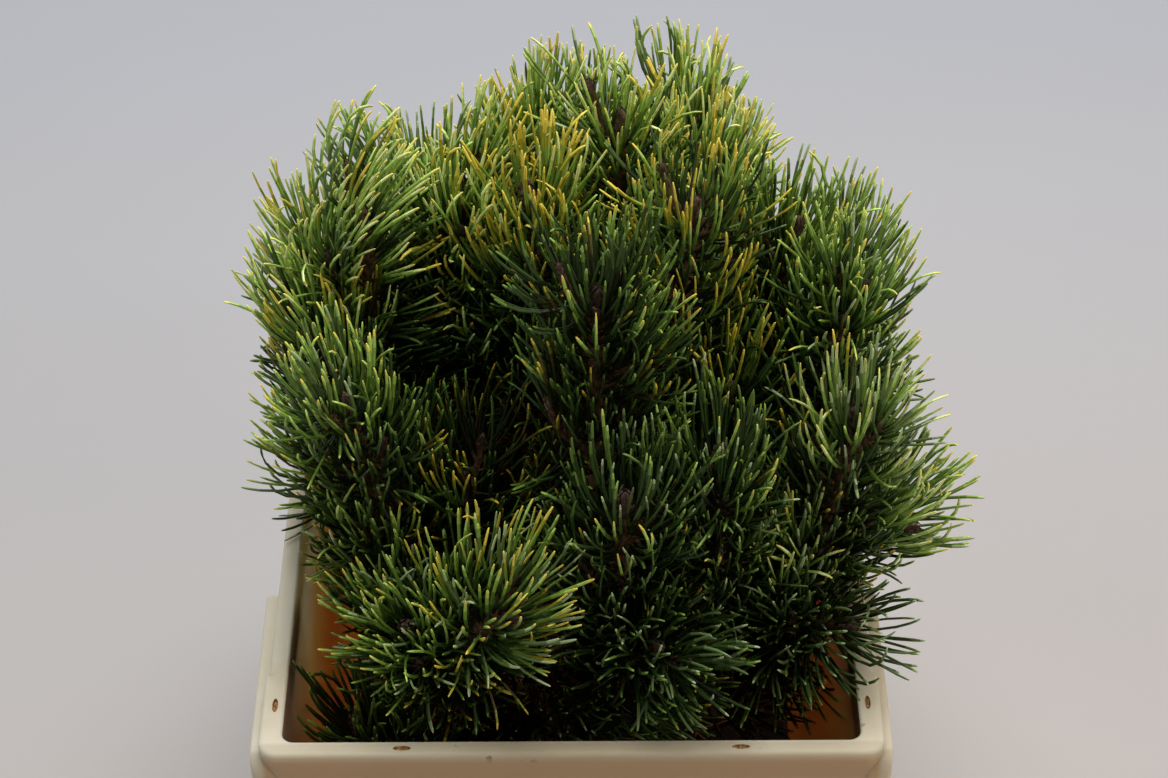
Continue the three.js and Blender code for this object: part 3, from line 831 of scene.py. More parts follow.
def make_needles(rows, rng):
    """The needle pieces, each for its own group of shoots, and which pairs kept a needle."""
    rows["shelter"] = shelter(rows["point"])
    by_needle, line, facing = grow_lines(rows, rng)
    ramps = deal_ramps(by_needle, rng)
    keep = in_the_open(line)
    looks = [Look(f"needle_{name}", color, 0.36).material for name, color in TINTS.items()]
    pieces = []
    for group in range(NEEDLE_GROUPS):
        chosen = keep & (by_needle["group"] == group)
        shell = Shell()
        needle_skins(shell, line[chosen], facing[chosen], ramps[chosen])
        pieces.append(shell.piece(f"needles_{group + 1}", looks))
    return pieces, keep.reshape(-1, 2).any(1)


# ---------------- materials

def linear(color):
    """A colour given as 0 to 255 in the screen's scale, as Blender's linear values."""
    values = [(c / 255 / 12.92) if c / 255 <= 0.04045 else ((c / 255 + 0.055) / 1.055) ** 2.4 for c in color]
    return (*values, 1.0)


class Look:
    """A material on one principled shader, with helpers for the nodes that feed it. Sizes are in metres."""

    def __init__(self, name, color, roughness, specular=0.5):
        self.material = bpy.data.materials.new(name)
        self.material.use_nodes = True
        self.tree = self.material.node_tree
        self.surface = self.tree.nodes["Principled BSDF"]
        self.set("Base Color", linear(color))
        self.set("Roughness", roughness)
        self.set("Specular IOR Level", specular)
        self.place = None

    def set(self, socket, value):
        self.surface.inputs[socket].default_value = value

    def feed(self, socket, output):
        self.tree.links.new(output, self.surface.inputs[socket])

    def node(self, kind, inputs=None, **settings):
        node = self.tree.nodes.new(kind)
        for key, value in settings.items():
            setattr(node, key, value)
        for key, value in (inputs or {}).items():
            if isinstance(value, bpy.types.NodeSocket):
                self.tree.links.new(value, node.inputs[key])
            else:
                node.inputs[key].default_value = value
        return node

    def where(self, scale=(1, 1, 1)):
        """Object coordinates, stretched."""
        if self.place is None:
            self.place = self.node("ShaderNodeTexCoord").outputs["Object"]
        if scale == (1, 1, 1):
            return self.place
        return self.node("ShaderNodeMapping", {"Vector": self.place, "Scale": scale}).outputs["Vector"]

    def noise(self, scale, detail, roughness, stretch=(1, 1, 1)):
        inputs = {"Vector": self.where(stretch), "Scale": scale, "Detail": detail, "Roughness": roughness}
        return self.node("ShaderNodeTexNoise", inputs).outputs["Fac"]

    def ramp(self, factor, stops):
        """A colour that runs through (position, colour) stops."""
        node = self.node("ShaderNodeValToRGB", {"Fac": factor})
        elements = node.color_ramp.elements
        while len(elements) < len(stops):
            elements.new(0.5)
        for element, (position, color) in zip(elements, stops):
            element.position = position
            element.color = linear(color)
        return node.outputs["Color"]

    def between(self, factor, low, high):
        """A factor remapped so that low becomes 0 and high becomes 1."""
        inputs = {"Value": factor, "From Min": low, "From Max": high}
        return self.node("ShaderNodeMapRange", inputs).outputs["Result"]

    def math(self, operation, first, second=0.0):
        return self.node("ShaderNodeMath", {0: first, 1: second}, operation=operation).outputs["Value"]

    def times(self, first, second):
        return self.math("MULTIPLY", first, second)

    def over(self, color, factor, layer, weight=None):
        """A colour with a layer over it, by a factor, times a weight where one is given."""
        factor = factor if weight is None else self.times(factor, weight)
        layer = linear(layer) if isinstance(layer, tuple) else layer
        node = self.node("ShaderNodeMix", {0: factor, 6: color, 7: layer}, data_type="RGBA")
        return node.outputs[2]

    def axis(self, letter):
        return self.node("ShaderNodeSeparateXYZ", {"Vector": self.where()}).outputs[letter]

    def made(self, color, height, strength, distance):
        """The material, with its colour and bumps fed in."""
        self.feed("Base Color", color)
        inputs = {"Height": height, "Strength": strength, "Distance": distance}
        self.feed("Normal", self.node("ShaderNodeBump", inputs).outputs["Normal"])
        return self.material

    def milky(self, weight):
        """Thin plastic that lets a warm part of the light through."""
        self.set("Subsurface Weight", weight)
        self.set("Subsurface Radius", (1.0, 0.86, 0.70))
        self.set("Subsurface Scale", 0.022)


def bark_look(name, dark, middle, pale, scale, strength):
    look = Look(name, middle, 0.9, 0.25)
    inputs = {"Vector": look.where((1, 1, 0.55)), "Scale": scale}
    plates = look.node("ShaderNodeTexVoronoi", inputs).outputs["Distance"]
    grain = look.noise(scale * 2.6, 6, 0.62, (1, 1, 0.6))
    blend = look.math("ADD", look.times(plates, 0.55), look.times(grain, 0.55))
    return look.made(look.ramp(blend, [(0.18, dark), (0.46, middle), (0.78, pale)]), blend, strength, 0.0012)


def grained_look(name, color, roughness, specular, grain, stops, bump):
    """One noise gives the colour and the bumps. grain is the noise, bump the strength and height."""
    look = Look(name, color, roughness, specular)
    factor = look.noise(*grain)
    return look.made(look.ramp(factor, stops), factor, *bump)


def tub_look(name):
    look = Look(name, (220, 210, 186), 0.42, 0.45)
    cloud = look.noise(9, 5, 0.6)
    cream = look.ramp(cloud, [(0.30, (190, 179, 152)), (0.52, (208, 199, 176)), (0.75, (217, 210, 190))])
    streak = look.between(look.noise(26, 3, 0.5, (1, 1, 0.12)), 0.56, 0.78)
    cream = look.over(cream, streak, (176, 152, 116), 0.35)
    specks = look.between(look.noise(150, 2, 0.5), 0.70, 0.76)
    patches = look.between(look.noise(14, 4, 0.6), 0.50, 0.66)
    cream = look.over(cream, look.times(specks, patches), (92, 66, 36), 0.75)

    drop = look.math("SUBTRACT", TUB_HEIGHT * MM, look.axis("Z"))
    below = look.between(look.axis("Z"), (TUB_HEIGHT - 1.5) * MM, (TUB_HEIGHT - 6) * MM)
    tapered = look.times(drop, TUB_TAPER / TUB_HEIGHT)
    upright_y = look.math("ADD", look.math("ABSOLUTE", look.axis("Y")), tapered)
    mouth_end = TUB_MOUTH[1] / 2
    short_face = look.between(upright_y, (mouth_end + 0.5) * MM, (mouth_end + 2.5) * MM)
    short_face = look.times(short_face, look.between(drop, 0.4, 0.02))
    face = TUB_MOUTH[0] / 2 + RIM_LIP
    between_ledges = look.between(look.math("ABSOLUTE", look.axis("X")), (face + 1.0) * MM, (face - 1.5) * MM)
    # The short faces darkened, most near the rim, and the panel between the ledges below the rim tinted tan
    # are partly dirt and partly painted shade.
    cream = look.over(cream, short_face, (146, 134, 104), 0.30)
    panel_grime_and_shade = look.times(look.times(below, short_face), between_ledges)
    look.feed("Roughness", look.between(cloud, -1.2, 1.6))
    look.milky(0.5)
    return look.made(look.over(cream, panel_grime_and_shade, (186, 156, 118), 0.9), look.noise(420, 3, 0.5), 0.06, 0.0004)


def tub_inside_look(name, milkiness):
    look = Look(name, (150, 96, 52), 0.5, 0.4)
    depth = look.between(look.axis("Z"), TUB_HEIGHT * MM, (TUB_HEIGHT - 150) * MM)
    wander = look.times(look.between(look.noise(22, 4, 0.6, (1, 1, 0.2)), 0.2, 0.8), 0.22)
    depth = look.math("ADD", depth, wander)
    # Painted glow: the lining is paler than the outside near the rim and turns orange deeper down, for light
    # that comes through the thin walls.
    stops = [(0.06, (238, 226, 206)), (0.24, (238, 216, 188)), (0.5, (222, 170, 112)), (0.85, (204, 124, 50))]
    # Painted shade: the lining of the right wall is dark brown, darkest near the rim.
    right_wall_shade = look.ramp(depth, [(0.12, (62, 34, 16)), (0.45, (124, 70, 26))])
    color = look.over(look.ramp(depth, stops), look.between(look.axis("X"), 0.0, 0.09), right_wall_shade, 0.88)
    # Darker brown towards the front end.
    color = look.over(color, look.between(look.axis("Y"), -0.08, -0.15), (92, 54, 18), 0.85)
    # Painted shade: the lining at the far end is dark brown.
    color = look.over(color, look.between(look.axis("Y"), 0.06, 0.15), (46, 32, 20), 0.92)
    look.milky(milkiness)
    return look.made(color, look.noise(60, 4, 0.6, (1, 1, 0.3)), 0.08, 0.0008)


def soil_look():
    look = Look("compost", (40, 28, 18), 0.96, 0.2)
    clods = look.noise(90, 8, 0.7)
    fibres = look.between(look.noise(260, 3, 0.5, (1, 0.2, 1)), 0.58, 0.72)
    dark = look.ramp(clods, [(0.32, (20, 13, 8)), (0.52, (42, 28, 18)), (0.72, (74, 52, 32))])
    return look.made(look.over(dark, fibres, (112, 80, 46), 0.5), clods, 0.7, 0.003)


def floor_look():
    look = Look("floor_grey", (206, 206, 209), 0.75, 0.2)
    # Painted light: the floor is darker and cooler at the back and lighter and warmer towards the front.
    nearness = look.between(look.axis("Y"), 0.8, -0.4)
    drift = look.times(look.noise(0.9, 3, 0.5), 0.3)
    plain = look.ramp(look.math("ADD", nearness, drift), [(0.1, (160, 163, 170)), (1.0, (182, 176, 172))])
    # Painted light: from a metre out the floor turns much lighter, standing in for lamp light that falls off
    # there.
    away = look.node("ShaderNodeVectorMath", {0: look.where()}, operation="LENGTH").outputs["Value"]
    look.feed("Base Color", look.over(plain, look.between(away, 1.0, 3.6), (240, 240, 243)))
    return look.material


# ---------------- trunk and boughs

TRUNK_SIDES = 36
BOUGH_SIDES = 12
RING_STEP = 2.6
BOUGH_COLLAR = (0.3, 9.0)        # how much a bough is swollen at its root, and over what length
TRUNK_SINK = 12.0
TRUNK_BARK = (1.6, 7.0)          # depth and size of the bark's plates
BOUGH_BARK = (0.9, 4.0)


def relief(points, scale, seed):
    """Scaly bark: blunt plates parted by narrow furrows, from 0 in a furrow to 1 on a plate."""
    values = []
    for point in points.reshape(-1, 3):
        place = Vector((point[0], point[1], point[2] * 0.5)) / scale + Vector((seed, 0, 0))
        values.append(min(1.0, 2.4 * abs(noise_at(place)) + 0.5 * abs(noise_at(place * 2.7))))
    return np.array(values).reshape(points.shape[:-1])


def add_barked_limb(shell, limb, end, sides, swell, bark, seed):
    depth, scale = bark
    marks = np.linspace(0, end, max(4, int(end / RING_STEP)))
    radii = limb.radius(marks) * swell(marks)
    raised = relief(limb_rings(limb, marks, radii, sides), scale, seed) * depth - depth * 0.7
    shell.add_tube(limb_rings(limb, marks, radii[:, None] + raised, sides))


def flare(distance):
    return 1 + (ROOT_FLARE - 1) * np.maximum(0, 1 - distance / FLARE_HEIGHT) ** 2


def collar(distance):
    return 1 + BOUGH_COLLAR[0] * np.exp(-distance / BOUGH_COLLAR[1])


def grow_bark(trunk, shoots):
    shell = Shell()
    add_barked_limb(shell, trunk, trunk.length, TRUNK_SIDES, flare, TRUNK_BARK, 3)
    sunk = limb_rings(trunk, [0.0, 0.0], trunk.radius(0) * ROOT_FLARE * 0.97, TRUNK_SIDES)
    sunk[0, :, 2] -= TRUNK_SINK
    shell.add_tube(sunk)
    for index, shoot in enumerate(shoots.values()):
        if shoot.bough_end > 0:
            add_barked_limb(shell, shoot.limb, shoot.bough_end, BOUGH_SIDES, collar, BOUGH_BARK, index)
    return shell


# ---------------- stems, sheaths and buds

STEM_SIDES = 7
STEM_STEP = 3.2
STEM_SUNK = 3.0                  # how far a needled stem runs back into its bough
SHEATH_SIDES = 3
SHEATH_RINGS = ((-1.0, 1.1875), (4.2, 0.9025))      # distance along a sheath, and radius
BUD_SIDES = 9
BUD_SHAPE = ((0.0, 0.72), (0.18, 1.0), (0.5, 1.0), (0.75, 0.82), (0.9, 0.5), (1.0, 0.12))
BUD_CORE = 0.86                  # the spindle under the scales, as a share of the bud's radius
SIDE_BUDS = 3
SIDE_BUD_ANGLES = (22, 34)
# How far each bud is sunk in its stem's end, its length and its radius.
END_BUD = (7, (16, 20), (3.3, 3.9))
SIDE_BUD = (8, (8, 11), (1.9, 2.4))
TWIG_BUD = (5, (10, 13), 2.5)
FINE_BUD = (4, (7, 9), 1.9)


def add_stem(shell, limb, start, rng):
    """A needled stem, rough with the stubs of its scale leaves."""
    marks = np.linspace(start, limb.length, max(3, int((limb.length - start) / STEM_STEP)))
    rough = rng.uniform(-0.32, 0.38, (len(marks), STEM_SIDES))
    rings = limb_rings(limb, marks, limb.radius(marks)[:, None] + rough, STEM_SIDES)
    shell.add_tube(rings, tip=limb.point(limb.length))


def add_sheaths(shell, rows):
    """The papery sheath round the root of each pair of needles."""
    angle = np.radians(rows["angle"])[:, None]
    ahead = unit(np.cos(angle) * rows["tangent"] + np.sin(angle) * rows["outward"])
    across = unit(np.cross(ahead, rows["tangent"] + 1e-3))
    around = spokes(across, np.cross(ahead, across), SHEATH_SIDES)
    rings = [(rows["point"] + ahead * along)[:, None] + around * radius for along, radius in SHEATH_RINGS]
    points = np.concatenate(rings, 1)
    offsets = np.arange(len(points))[:, None, None] * points.shape[1]
    shell.add(points, skin_quads(len(SHEATH_RINGS), SHEATH_SIDES) + offsets, (), 1)


def add_bud(shell, root, ahead, length, radius, rng):
    """A spindle clad in a spiral of pointed scales."""
    ahead = unit(ahead)
    across = unit(np.cross(ahead, (0.3, 0.9, 0.15)))
    other = np.cross(ahead, across)
    around = spokes(across[None], other[None], BUD_SIDES)[0]
    rings = [root + ahead * length * along + around * radius * BUD_CORE * wide for along, wide in BUD_SHAPE]
    shell.add_tube(rings, tip=root + ahead * length * 1.02)
    scales = int(8 + length)
    for i in range(scales):
        along = 0.04 + 0.84 * i / scales
        bearing = math.radians(i * GOLDEN_ANGLE) + rng.uniform(-0.15, 0.15)
        out = across * math.cos(bearing) + other * math.sin(bearing)
        side = np.cross(ahead, out) * (radius * 0.5)
        wide, tip_wide = np.interp((along, min(1.0, along + 0.28)), *zip(*BUD_SHAPE)) * radius
        foot = root + ahead * length * along + out * wide * 0.82
        brow = root + ahead * length * (along + 0.13) + out * wide * 1.04
        tip = root + ahead * length * (along + 0.28) + out * (tip_wide * 0.9 + radius * 0.18)
        points = foot - side, foot + side, brow + side * 0.8, brow - side * 0.8, tip
        shell.add(points, [(0, 1, 2, 3)], [(3, 2, 4)])


def add_end_bud(shell, limb, ahead, bud, rng):
    sunk, lengths, radius = bud
    length = rng.uniform(*lengths)
    radius = rng.uniform(*radius) if isinstance(radius, tuple) else radius
    add_bud(shell, limb.point(limb.length - sunk), ahead, length, radius, rng)


def make_stems_and_buds(shoots, rows, rng):
    stems, buds = Shell(), Shell()
    for shoot in shoots.values():
        limb = shoot.limb
        add_stem(stems, limb, max(0.0, shoot.bough_end - STEM_SUNK), rng)
        ahead = limb.tangent(limb.length)
        add_end_bud(buds, limb, ahead, END_BUD, rng)
        for _ in range(SIDE_BUDS):
            turn = leaning(ahead, unit(np.cross(ahead, rng.normal(0, 1, 3))), rng.uniform(*SIDE_BUD_ANGLES))
            add_end_bud(buds, limb, turn, SIDE_BUD, rng)
        for twigs, bud in ((shoot.twigs, TWIG_BUD), (shoot.finer, FINE_BUD)):
            for twig in twigs:
                add_stem(stems, twig, 0, rng)
                add_end_bud(buds, twig, twig.tangent(twig.length), bud, rng)
    add_sheaths(stems, rows)
    return stems, buds


# ---------------- tub

CORNER_SIGNS = np.array([[1, 1], [-1, 1], [-1, -1], [1, -1]])
CORNER_STEPS = 10
EDGE_STEP = 11.0
RIM_ROUND = 2.0                  # rounding of the rim's outer edge
MOUTH_ROUND = 1.3                # and of its inner edge
FOOT_ROUND = 2.2
WALL_BOW = 0.8
GRIP_ROUND = 1.3
NOSE_STEPS = 6
SLOT_SIDES = 24
SMOOTH_BELOW = 38.0              # degrees between faces that are shaded as one

OUTER_TINT, INNER_TINT, STAIN_TINT, FAR_TINT = range(4)


def tub_ring(offset, z, bow):
    """Points round the tub, a distance out from its inner face, wider along the rim's corner pads."""
    pad = PAD_OUT if offset > TUB_WALL + 2 else 0
    half = inner_halves(z) + offset
    radius = TUB_CORNER + min(max(offset, 0), TUB_WALL)
    ring = []
    for corner, signs in enumerate(CORNER_SIGNS):
        turns = (corner + np.arange(CORNER_STEPS + 1) / CORNER_STEPS) * math.pi / 2
        arc = signs * (half - radius) + radius * np.stack([np.cos(turns), np.sin(turns)], -1)
        ring.append(arc + signs * (pad, 0))
        next_turn = (corner + 1) * math.pi / 2
        normal = np.array([math.cos(next_turn), math.sin(next_turn)])
        start, end = arc[-1], CORNER_SIGNS[(corner + 1) % 4] * (half - radius) + radius * normal
        axis = corner % 2
        steps = int(TUB_MOUTH[axis] / EDGE_STEP)
        length = np.linalg.norm(end - start)
        marks = np.arange(1, steps) / steps * length
        if axis == 1:
            ends = np.array([CORNER_PAD - 0.5, CORNER_PAD + 0.5])
            marks = np.sort(np.concatenate([marks, ends, length - ends]))
        shares = marks[:, None] / length
        edge = start + (end - start) * shares
        widened = (np.minimum(marks, length - marks) < CORNER_PAD)[:, None] * pad * (axis == 1)
        ring.append(edge + normal * (bow * np.sin(shares * math.pi) + widened))
    ring = np.concatenate(ring)
    return np.column_stack([ring, np.full(len(ring), z)])


def tub_profile():
    """(offset, height, bow, tint) from the underside, up the wall, over the rim and down inside."""
    under = TUB_HEIGHT - RIM_SKIRT
    outside = [(TUB_WALL - FOOT_ROUND, 0.0, 0), (TUB_WALL - 0.6, 0.6, 0), (TUB_WALL, FOOT_ROUND, 0)]
    for z in np.linspace(24, under - 24, 9):
        outside.append((TUB_WALL, z, WALL_BOW * math.sin(z / under * math.pi)))
    outside += [(TUB_WALL, under - 2.5, 0.1), (TUB_WALL + 0.8, under - 0.5, 0), (RIM_LIP - 1.2, under, 0)]
    outside += [(RIM_LIP - 0.3, under + 0.3, 0), (RIM_LIP, under + 1.2, 0), (RIM_LIP, TUB_HEIGHT - 2.2, 0)]
    for turn in (0.25, 0.5, 0.75, 1.0):
        cos, sin = math.cos(turn * math.pi / 2), math.sin(turn * math.pi / 2)
        outside.append((RIM_LIP - RIM_ROUND + RIM_ROUND * cos, TUB_HEIGHT - RIM_ROUND + RIM_ROUND * sin, 0))
    outside += [(RIM_LIP * 0.5, TUB_HEIGHT, 0), (MOUTH_ROUND, TUB_HEIGHT, 0)]
    for step in range(1, 4):
        cos, sin = math.cos(step / 3 * math.pi / 2), math.sin(step / 3 * math.pi / 2)
        outside.append((MOUTH_ROUND - MOUTH_ROUND * sin, TUB_HEIGHT - MOUTH_ROUND + MOUTH_ROUND * cos, 0))
    inside = [(0.0, TUB_HEIGHT - 4.0, 0)]
    inside += [(0.0, z, 0) for z in np.linspace(TUB_HEIGHT - 14, 40, 14)]
    inside += [(0.0, TUB_FLOOR + 6.0, 0), (-2.0, TUB_FLOOR + 1.6, 0), (-6.0, TUB_FLOOR, 0)]
    return [(*place, OUTER_TINT) for place in outside] + [(*place, INNER_TINT) for place in inside]


def add_grip(shell, side_x, side_y):
    """A grip ledge on a long side of the rim. Its end at the corner is rounded and slopes down."""
    face, end = TUB_MOUTH[0] / 2 + RIM_LIP, TUB_MOUTH[1] / 2
    inner, outer = face - LEDGE_ROOT, face + LEDGE_OUT
    near, far = end - LEDGE_LENGTH, end + RIM_LIP - LEDGE_SHY
    stations = [(near, outer - 1.2, 0.0), (near + 0.4, outer - 0.4, 0.0), (near + 1.2, outer, 0.0)]
    for turn in np.arange(NOSE_STEPS + 1) / NOSE_STEPS * math.pi / 2:
        sunk = 1 - math.cos(turn)
        y = far - LEDGE_FALL + LEDGE_FALL * math.sin(turn)
        stations.append((y, outer - LEDGE_NOSE * sunk ** 2, LEDGE_FALL * sunk))
    rings = []
    for y, reach, drop in stations:
        half_x, middle_x = (reach - inner) / 2, (reach + inner) / 2
        half_z, middle_z = (LEDGE_HEIGHT - drop) / 2, TUB_HEIGHT - LEDGE_DROP - (LEDGE_HEIGHT + drop) / 2
        ring = []
        for corner, (sign_x, sign_z) in enumerate(CORNER_SIGNS):
            for step in range(4):
                turn = (corner + step / 3) * math.pi / 2
                x = (half_x - GRIP_ROUND) * sign_x + GRIP_ROUND * math.cos(turn)
                up = (half_z - GRIP_ROUND) * sign_z + GRIP_ROUND * math.sin(turn)
                ring.append(((middle_x + x) * side_x, y * side_y, middle_z + up))
        rings.append(ring)
    shell.add_tube(rings)


def slot_places():
    """The middle and half sizes of each drain slot in the rim's top."""
    lip = TUB_MOUTH[0] / 2 + SLOT_INSET, TUB_MOUTH[1] / 2 + SLOT_INSET
    back = TUB_MOUTH[1] / 2 - SLOT_FROM_CORNER
    for sign_x in (-1, 1):
        for sign_y in (-1, 1):
            yield (sign_x * SLOT_FROM_MIDDLE, sign_y * lip[1]), SLOT_HALF
            yield (sign_x * lip[0], sign_y * back), SLOT_HALF[::-1]


def oval_cutter(middle, half):
    """A shallow oval plug that cuts one slot and leaves its stained floor."""
    turns = full_turn(SLOT_SIDES)
    shell = Shell()
    rings = []
    for z, grow in ((TUB_HEIGHT - SLOT_DEPTH, 0.8), (TUB_HEIGHT - 0.3, 1.0), (TUB_HEIGHT + 2, 1.12)):
        x, y = middle[0] + np.cos(turns) * half[0] * grow, middle[1] + np.sin(turns) * half[1] * grow
        rings.append(np.column_stack([x, y, np.full(SLOT_SIDES, z)]))
    shell.add_tube(rings, STAIN_TINT)
    return shell


def rework(piece, change):
    """Passes a piece's mesh through a change made in bmesh."""
    work = bmesh.new()
    work.from_mesh(piece.data)
    change(work)
    work.to_mesh(piece.data)
    work.free()


def face_outward(work):
    bmesh.ops.recalc_face_normals(work, faces=work.faces)


def keep_crisp(work):
    """Smooth shading, with an edge kept crisp where its faces meet at more than an angle."""
    for face in work.faces:
        face.smooth = True
    for edge in work.edges:
        edge.smooth = len(edge.link_faces) == 2 and edge.calc_face_angle(0) < math.radians(SMOOTH_BELOW)


def cut_slot(tub, cutter):
    cut = tub.modifiers.new("slot", "BOOLEAN")
    cut.operation = "DIFFERENCE"
    cut.solver = "EXACT"
    cut.object = cutter
    graph = bpy.context.evaluated_depsgraph_get()
    mesh = bpy.data.meshes.new_from_object(tub.evaluated_get(graph))
    tub.modifiers.clear()
    tub.data = mesh
    bpy.data.objects.remove(cutter)


def make_tub():
    stops = [(0.3, (92, 58, 26)), (0.5, (150, 106, 54)), (0.68, (206, 176, 124))]
    stain = grained_look("rim_stain", (112, 76, 36), 0.7, 0.3, (700, 4, 0.6), stops, (0.3, 0.0005))
    looks = [tub_look("tub_cream"), tub_inside_look("tub_inside", 0.85), stain,
             tub_inside_look("tub_inside_far", 0.0)]
    wall = Shell()
    profile = tub_profile()
    rings = [tub_ring(offset, z, bow) for offset, z, bow, _ in profile]
    sides = len(rings[0])
    wall.add_tube(rings)
    tints = np.array([[tint] * sides for *_, tint in profile[1:]])
    far_side = rings[0][:, 1] > TUB_MOUTH[1] / 2 - TUB_TAPER - TUB_WALL
    tints[(tints == INNER_TINT) & far_side] = FAR_TINT
    wall.quad_tints[0] = tints.ravel()
    wall.triangle_tints[0] = np.repeat([OUTER_TINT, INNER_TINT], sides)
    tub = wall.piece("tub_moulded", looks)
    rework(tub, face_outward)
    for middle, half in slot_places():
        cutter = oval_cutter(middle, half).piece("cutter", looks)
        rework(cutter, face_outward)
        cut_slot(tub, cutter)
    grips = Shell()
    for side_x in (-1, 1):
        for side_y in (-1, 1):
            add_grip(grips, side_x, side_y)
    ledges = grips.piece("tub_ledges", [tub_look("ledge_cream")])
    rework(ledges, face_outward)
    rework(tub, keep_crisp)
    rework(ledges, keep_crisp)
    return tub, ledges


# ---------------- soil and what lies on it

SOIL_CELLS = (52, 72)
SOIL_INSET = 1.0
SOIL_LOWERED = 3.5
MOUND = (3.0, 2600.0)            # height of the soil's dome about the trunk, and its width squared
SOIL_NOISE = ((46, 1.7, 2.6), (11, 5.2, 1.8), (4, 9.1, 0.9))     # size, seed and height of its bumps
CLODS = 260
CLOD_SIDES = 6
CLOD_SHAPE = ((-0.5, 0.7), (0.1, 1.0), (0.5, 0.6))
FALLEN = 220


def within_tub(x, y, z, inset):
    """Points from a square of -1 to 1, spread to the tub's rounded corners at an inset from its walls."""
    half = inner_halves(z) - inset
    place = np.stack([x, y], -1) * half
    beyond = np.maximum(np.abs(place) - (half - TUB_CORNER), 0)
    reach = np.linalg.norm(beyond, axis=-1, keepdims=True)
    pull = np.where(reach > TUB_CORNER, beyond * (1 - TUB_CORNER / np.maximum(reach, 1e-9)), 0)
    return place - np.sign(place) * pull


def soil_height(places):
    """The uneven top of the soil, a little domed about the trunk."""
    heights = []
    for x, y in places.reshape(-1, 2):
        from_trunk = (x - TRUNK_FOOT[0]) ** 2 + (y - TRUNK_FOOT[1]) ** 2
        height = SOIL_TOP - SOIL_LOWERED + MOUND[0] * math.exp(-from_trunk / MOUND[1])
        for size, seed, rise in SOIL_NOISE:
            height = height + rise * noise_at(Vector((x / size, y / size, seed)))
        heights.append(height)
    return np.array(heights).reshape(places.shape[:-1])


def add_soil_body(shell):
    columns, rows = SOIL_CELLS
    u, v = np.meshgrid(np.linspace(-1, 1, columns), np.linspace(-1, 1, rows), indexing="ij")
    top = within_tub(u, v, SOIL_TOP, SOIL_INSET)
    points = np.concatenate([top, soil_height(top)[..., None]], -1).reshape(-1, 3)
    i, j = np.meshgrid(np.arange(columns - 1), np.arange(rows - 1), indexing="ij")
    low = i * rows + j
    shell.add(points, np.stack([low, low + rows, low + rows + 1, low + 1], -1))
    border = [(c, 0) for c in range(columns)] + [(columns - 1, r) for r in range(1, rows)]
    border += [(c, rows - 1) for c in range(columns - 2, -1, -1)] + [(0, r) for r in range(rows - 2, 0, -1)]
    c, r = np.array(border).T
    bottom = TUB_FLOOR + GAP
    foot = within_tub(u[c, r], v[c, r], bottom, SOIL_INSET)
    foot = np.column_stack([foot, np.full(len(foot), bottom)])
    shell.add_tube([foot, points[c * rows + r]], last_cap=False)


def add_clods(shell, rng):
    """Crumbs of bark and peat that lie about on the soil."""
    places = within_tub(rng.uniform(-1, 1, CLODS), rng.uniform(-1, 1, CLODS), SOIL_TOP, 8.0)
    for (x, y), z in zip(places, soil_height(places)):
        size = rng.uniform(1.4, 4.2)
        turns = full_turn(CLOD_SIDES) + rng.uniform(0, 1)
        rings = []
        for level, wide in CLOD_SHAPE:
            reach = size * wide * rng.uniform(0.7, 1.15, CLOD_SIDES)
            across, along = np.cos(turns) * reach, np.sin(turns) * reach * 0.8
            rings.append(np.column_stack([across, along, np.full(CLOD_SIDES, level * size)]) + (x, y, z))
        shell.add_tube(rings)


def fallen_needles(rng):
    """Brown needles that lie on the soil, as middle lines and the way their round sides face."""
    places = within_tub(rng.uniform(-1, 1, FALLEN), rng.uniform(-1, 1, FALLEN), SOIL_TOP, 30.0)
    turns = rng.uniform(0, 2 * math.pi, FALLEN)
    ahead = np.stack([np.cos(turns), np.sin(turns), np.zeros(FALLEN)], -1)
    beside = np.stack([-np.sin(turns), np.cos(turns), np.zeros(FALLEN)], -1)
    length = rng.uniform(28, 44, FALLEN)[:, None]
    bend = rng.normal(0, 0.12, FALLEN)[:, None]
    start = np.column_stack([places, np.zeros(FALLEN)]) - ahead * length / 2
    line = np.stack([start + ahead * length * t + beside * length * bend * t * t for t in NEEDLE_MARKS], 1)
    ground = soil_height(line[..., :2])
    line[..., 2] = ground.max(1, keepdims=True) * 0.7 + ground * 0.3 + 1.4
    line = line[clear_of_tub(line, 2.0).all(1)]
    return line, np.tile(UP, (len(line), 1))


def make_soil(rng):
    soil = Shell()
    add_soil_body(soil)
    add_clods(soil, rng)
    line, facing = fallen_needles(rng)
    needle_skins(soil, line, facing, np.full((len(line), len(NEEDLE_MARKS) - 1), 1))
    rust = Look("fallen_needle", TINTS["rust"], 0.7, 0.3).material
    return soil.piece("soil_top", [soil_look(), rust])


# ---------------- putting it together

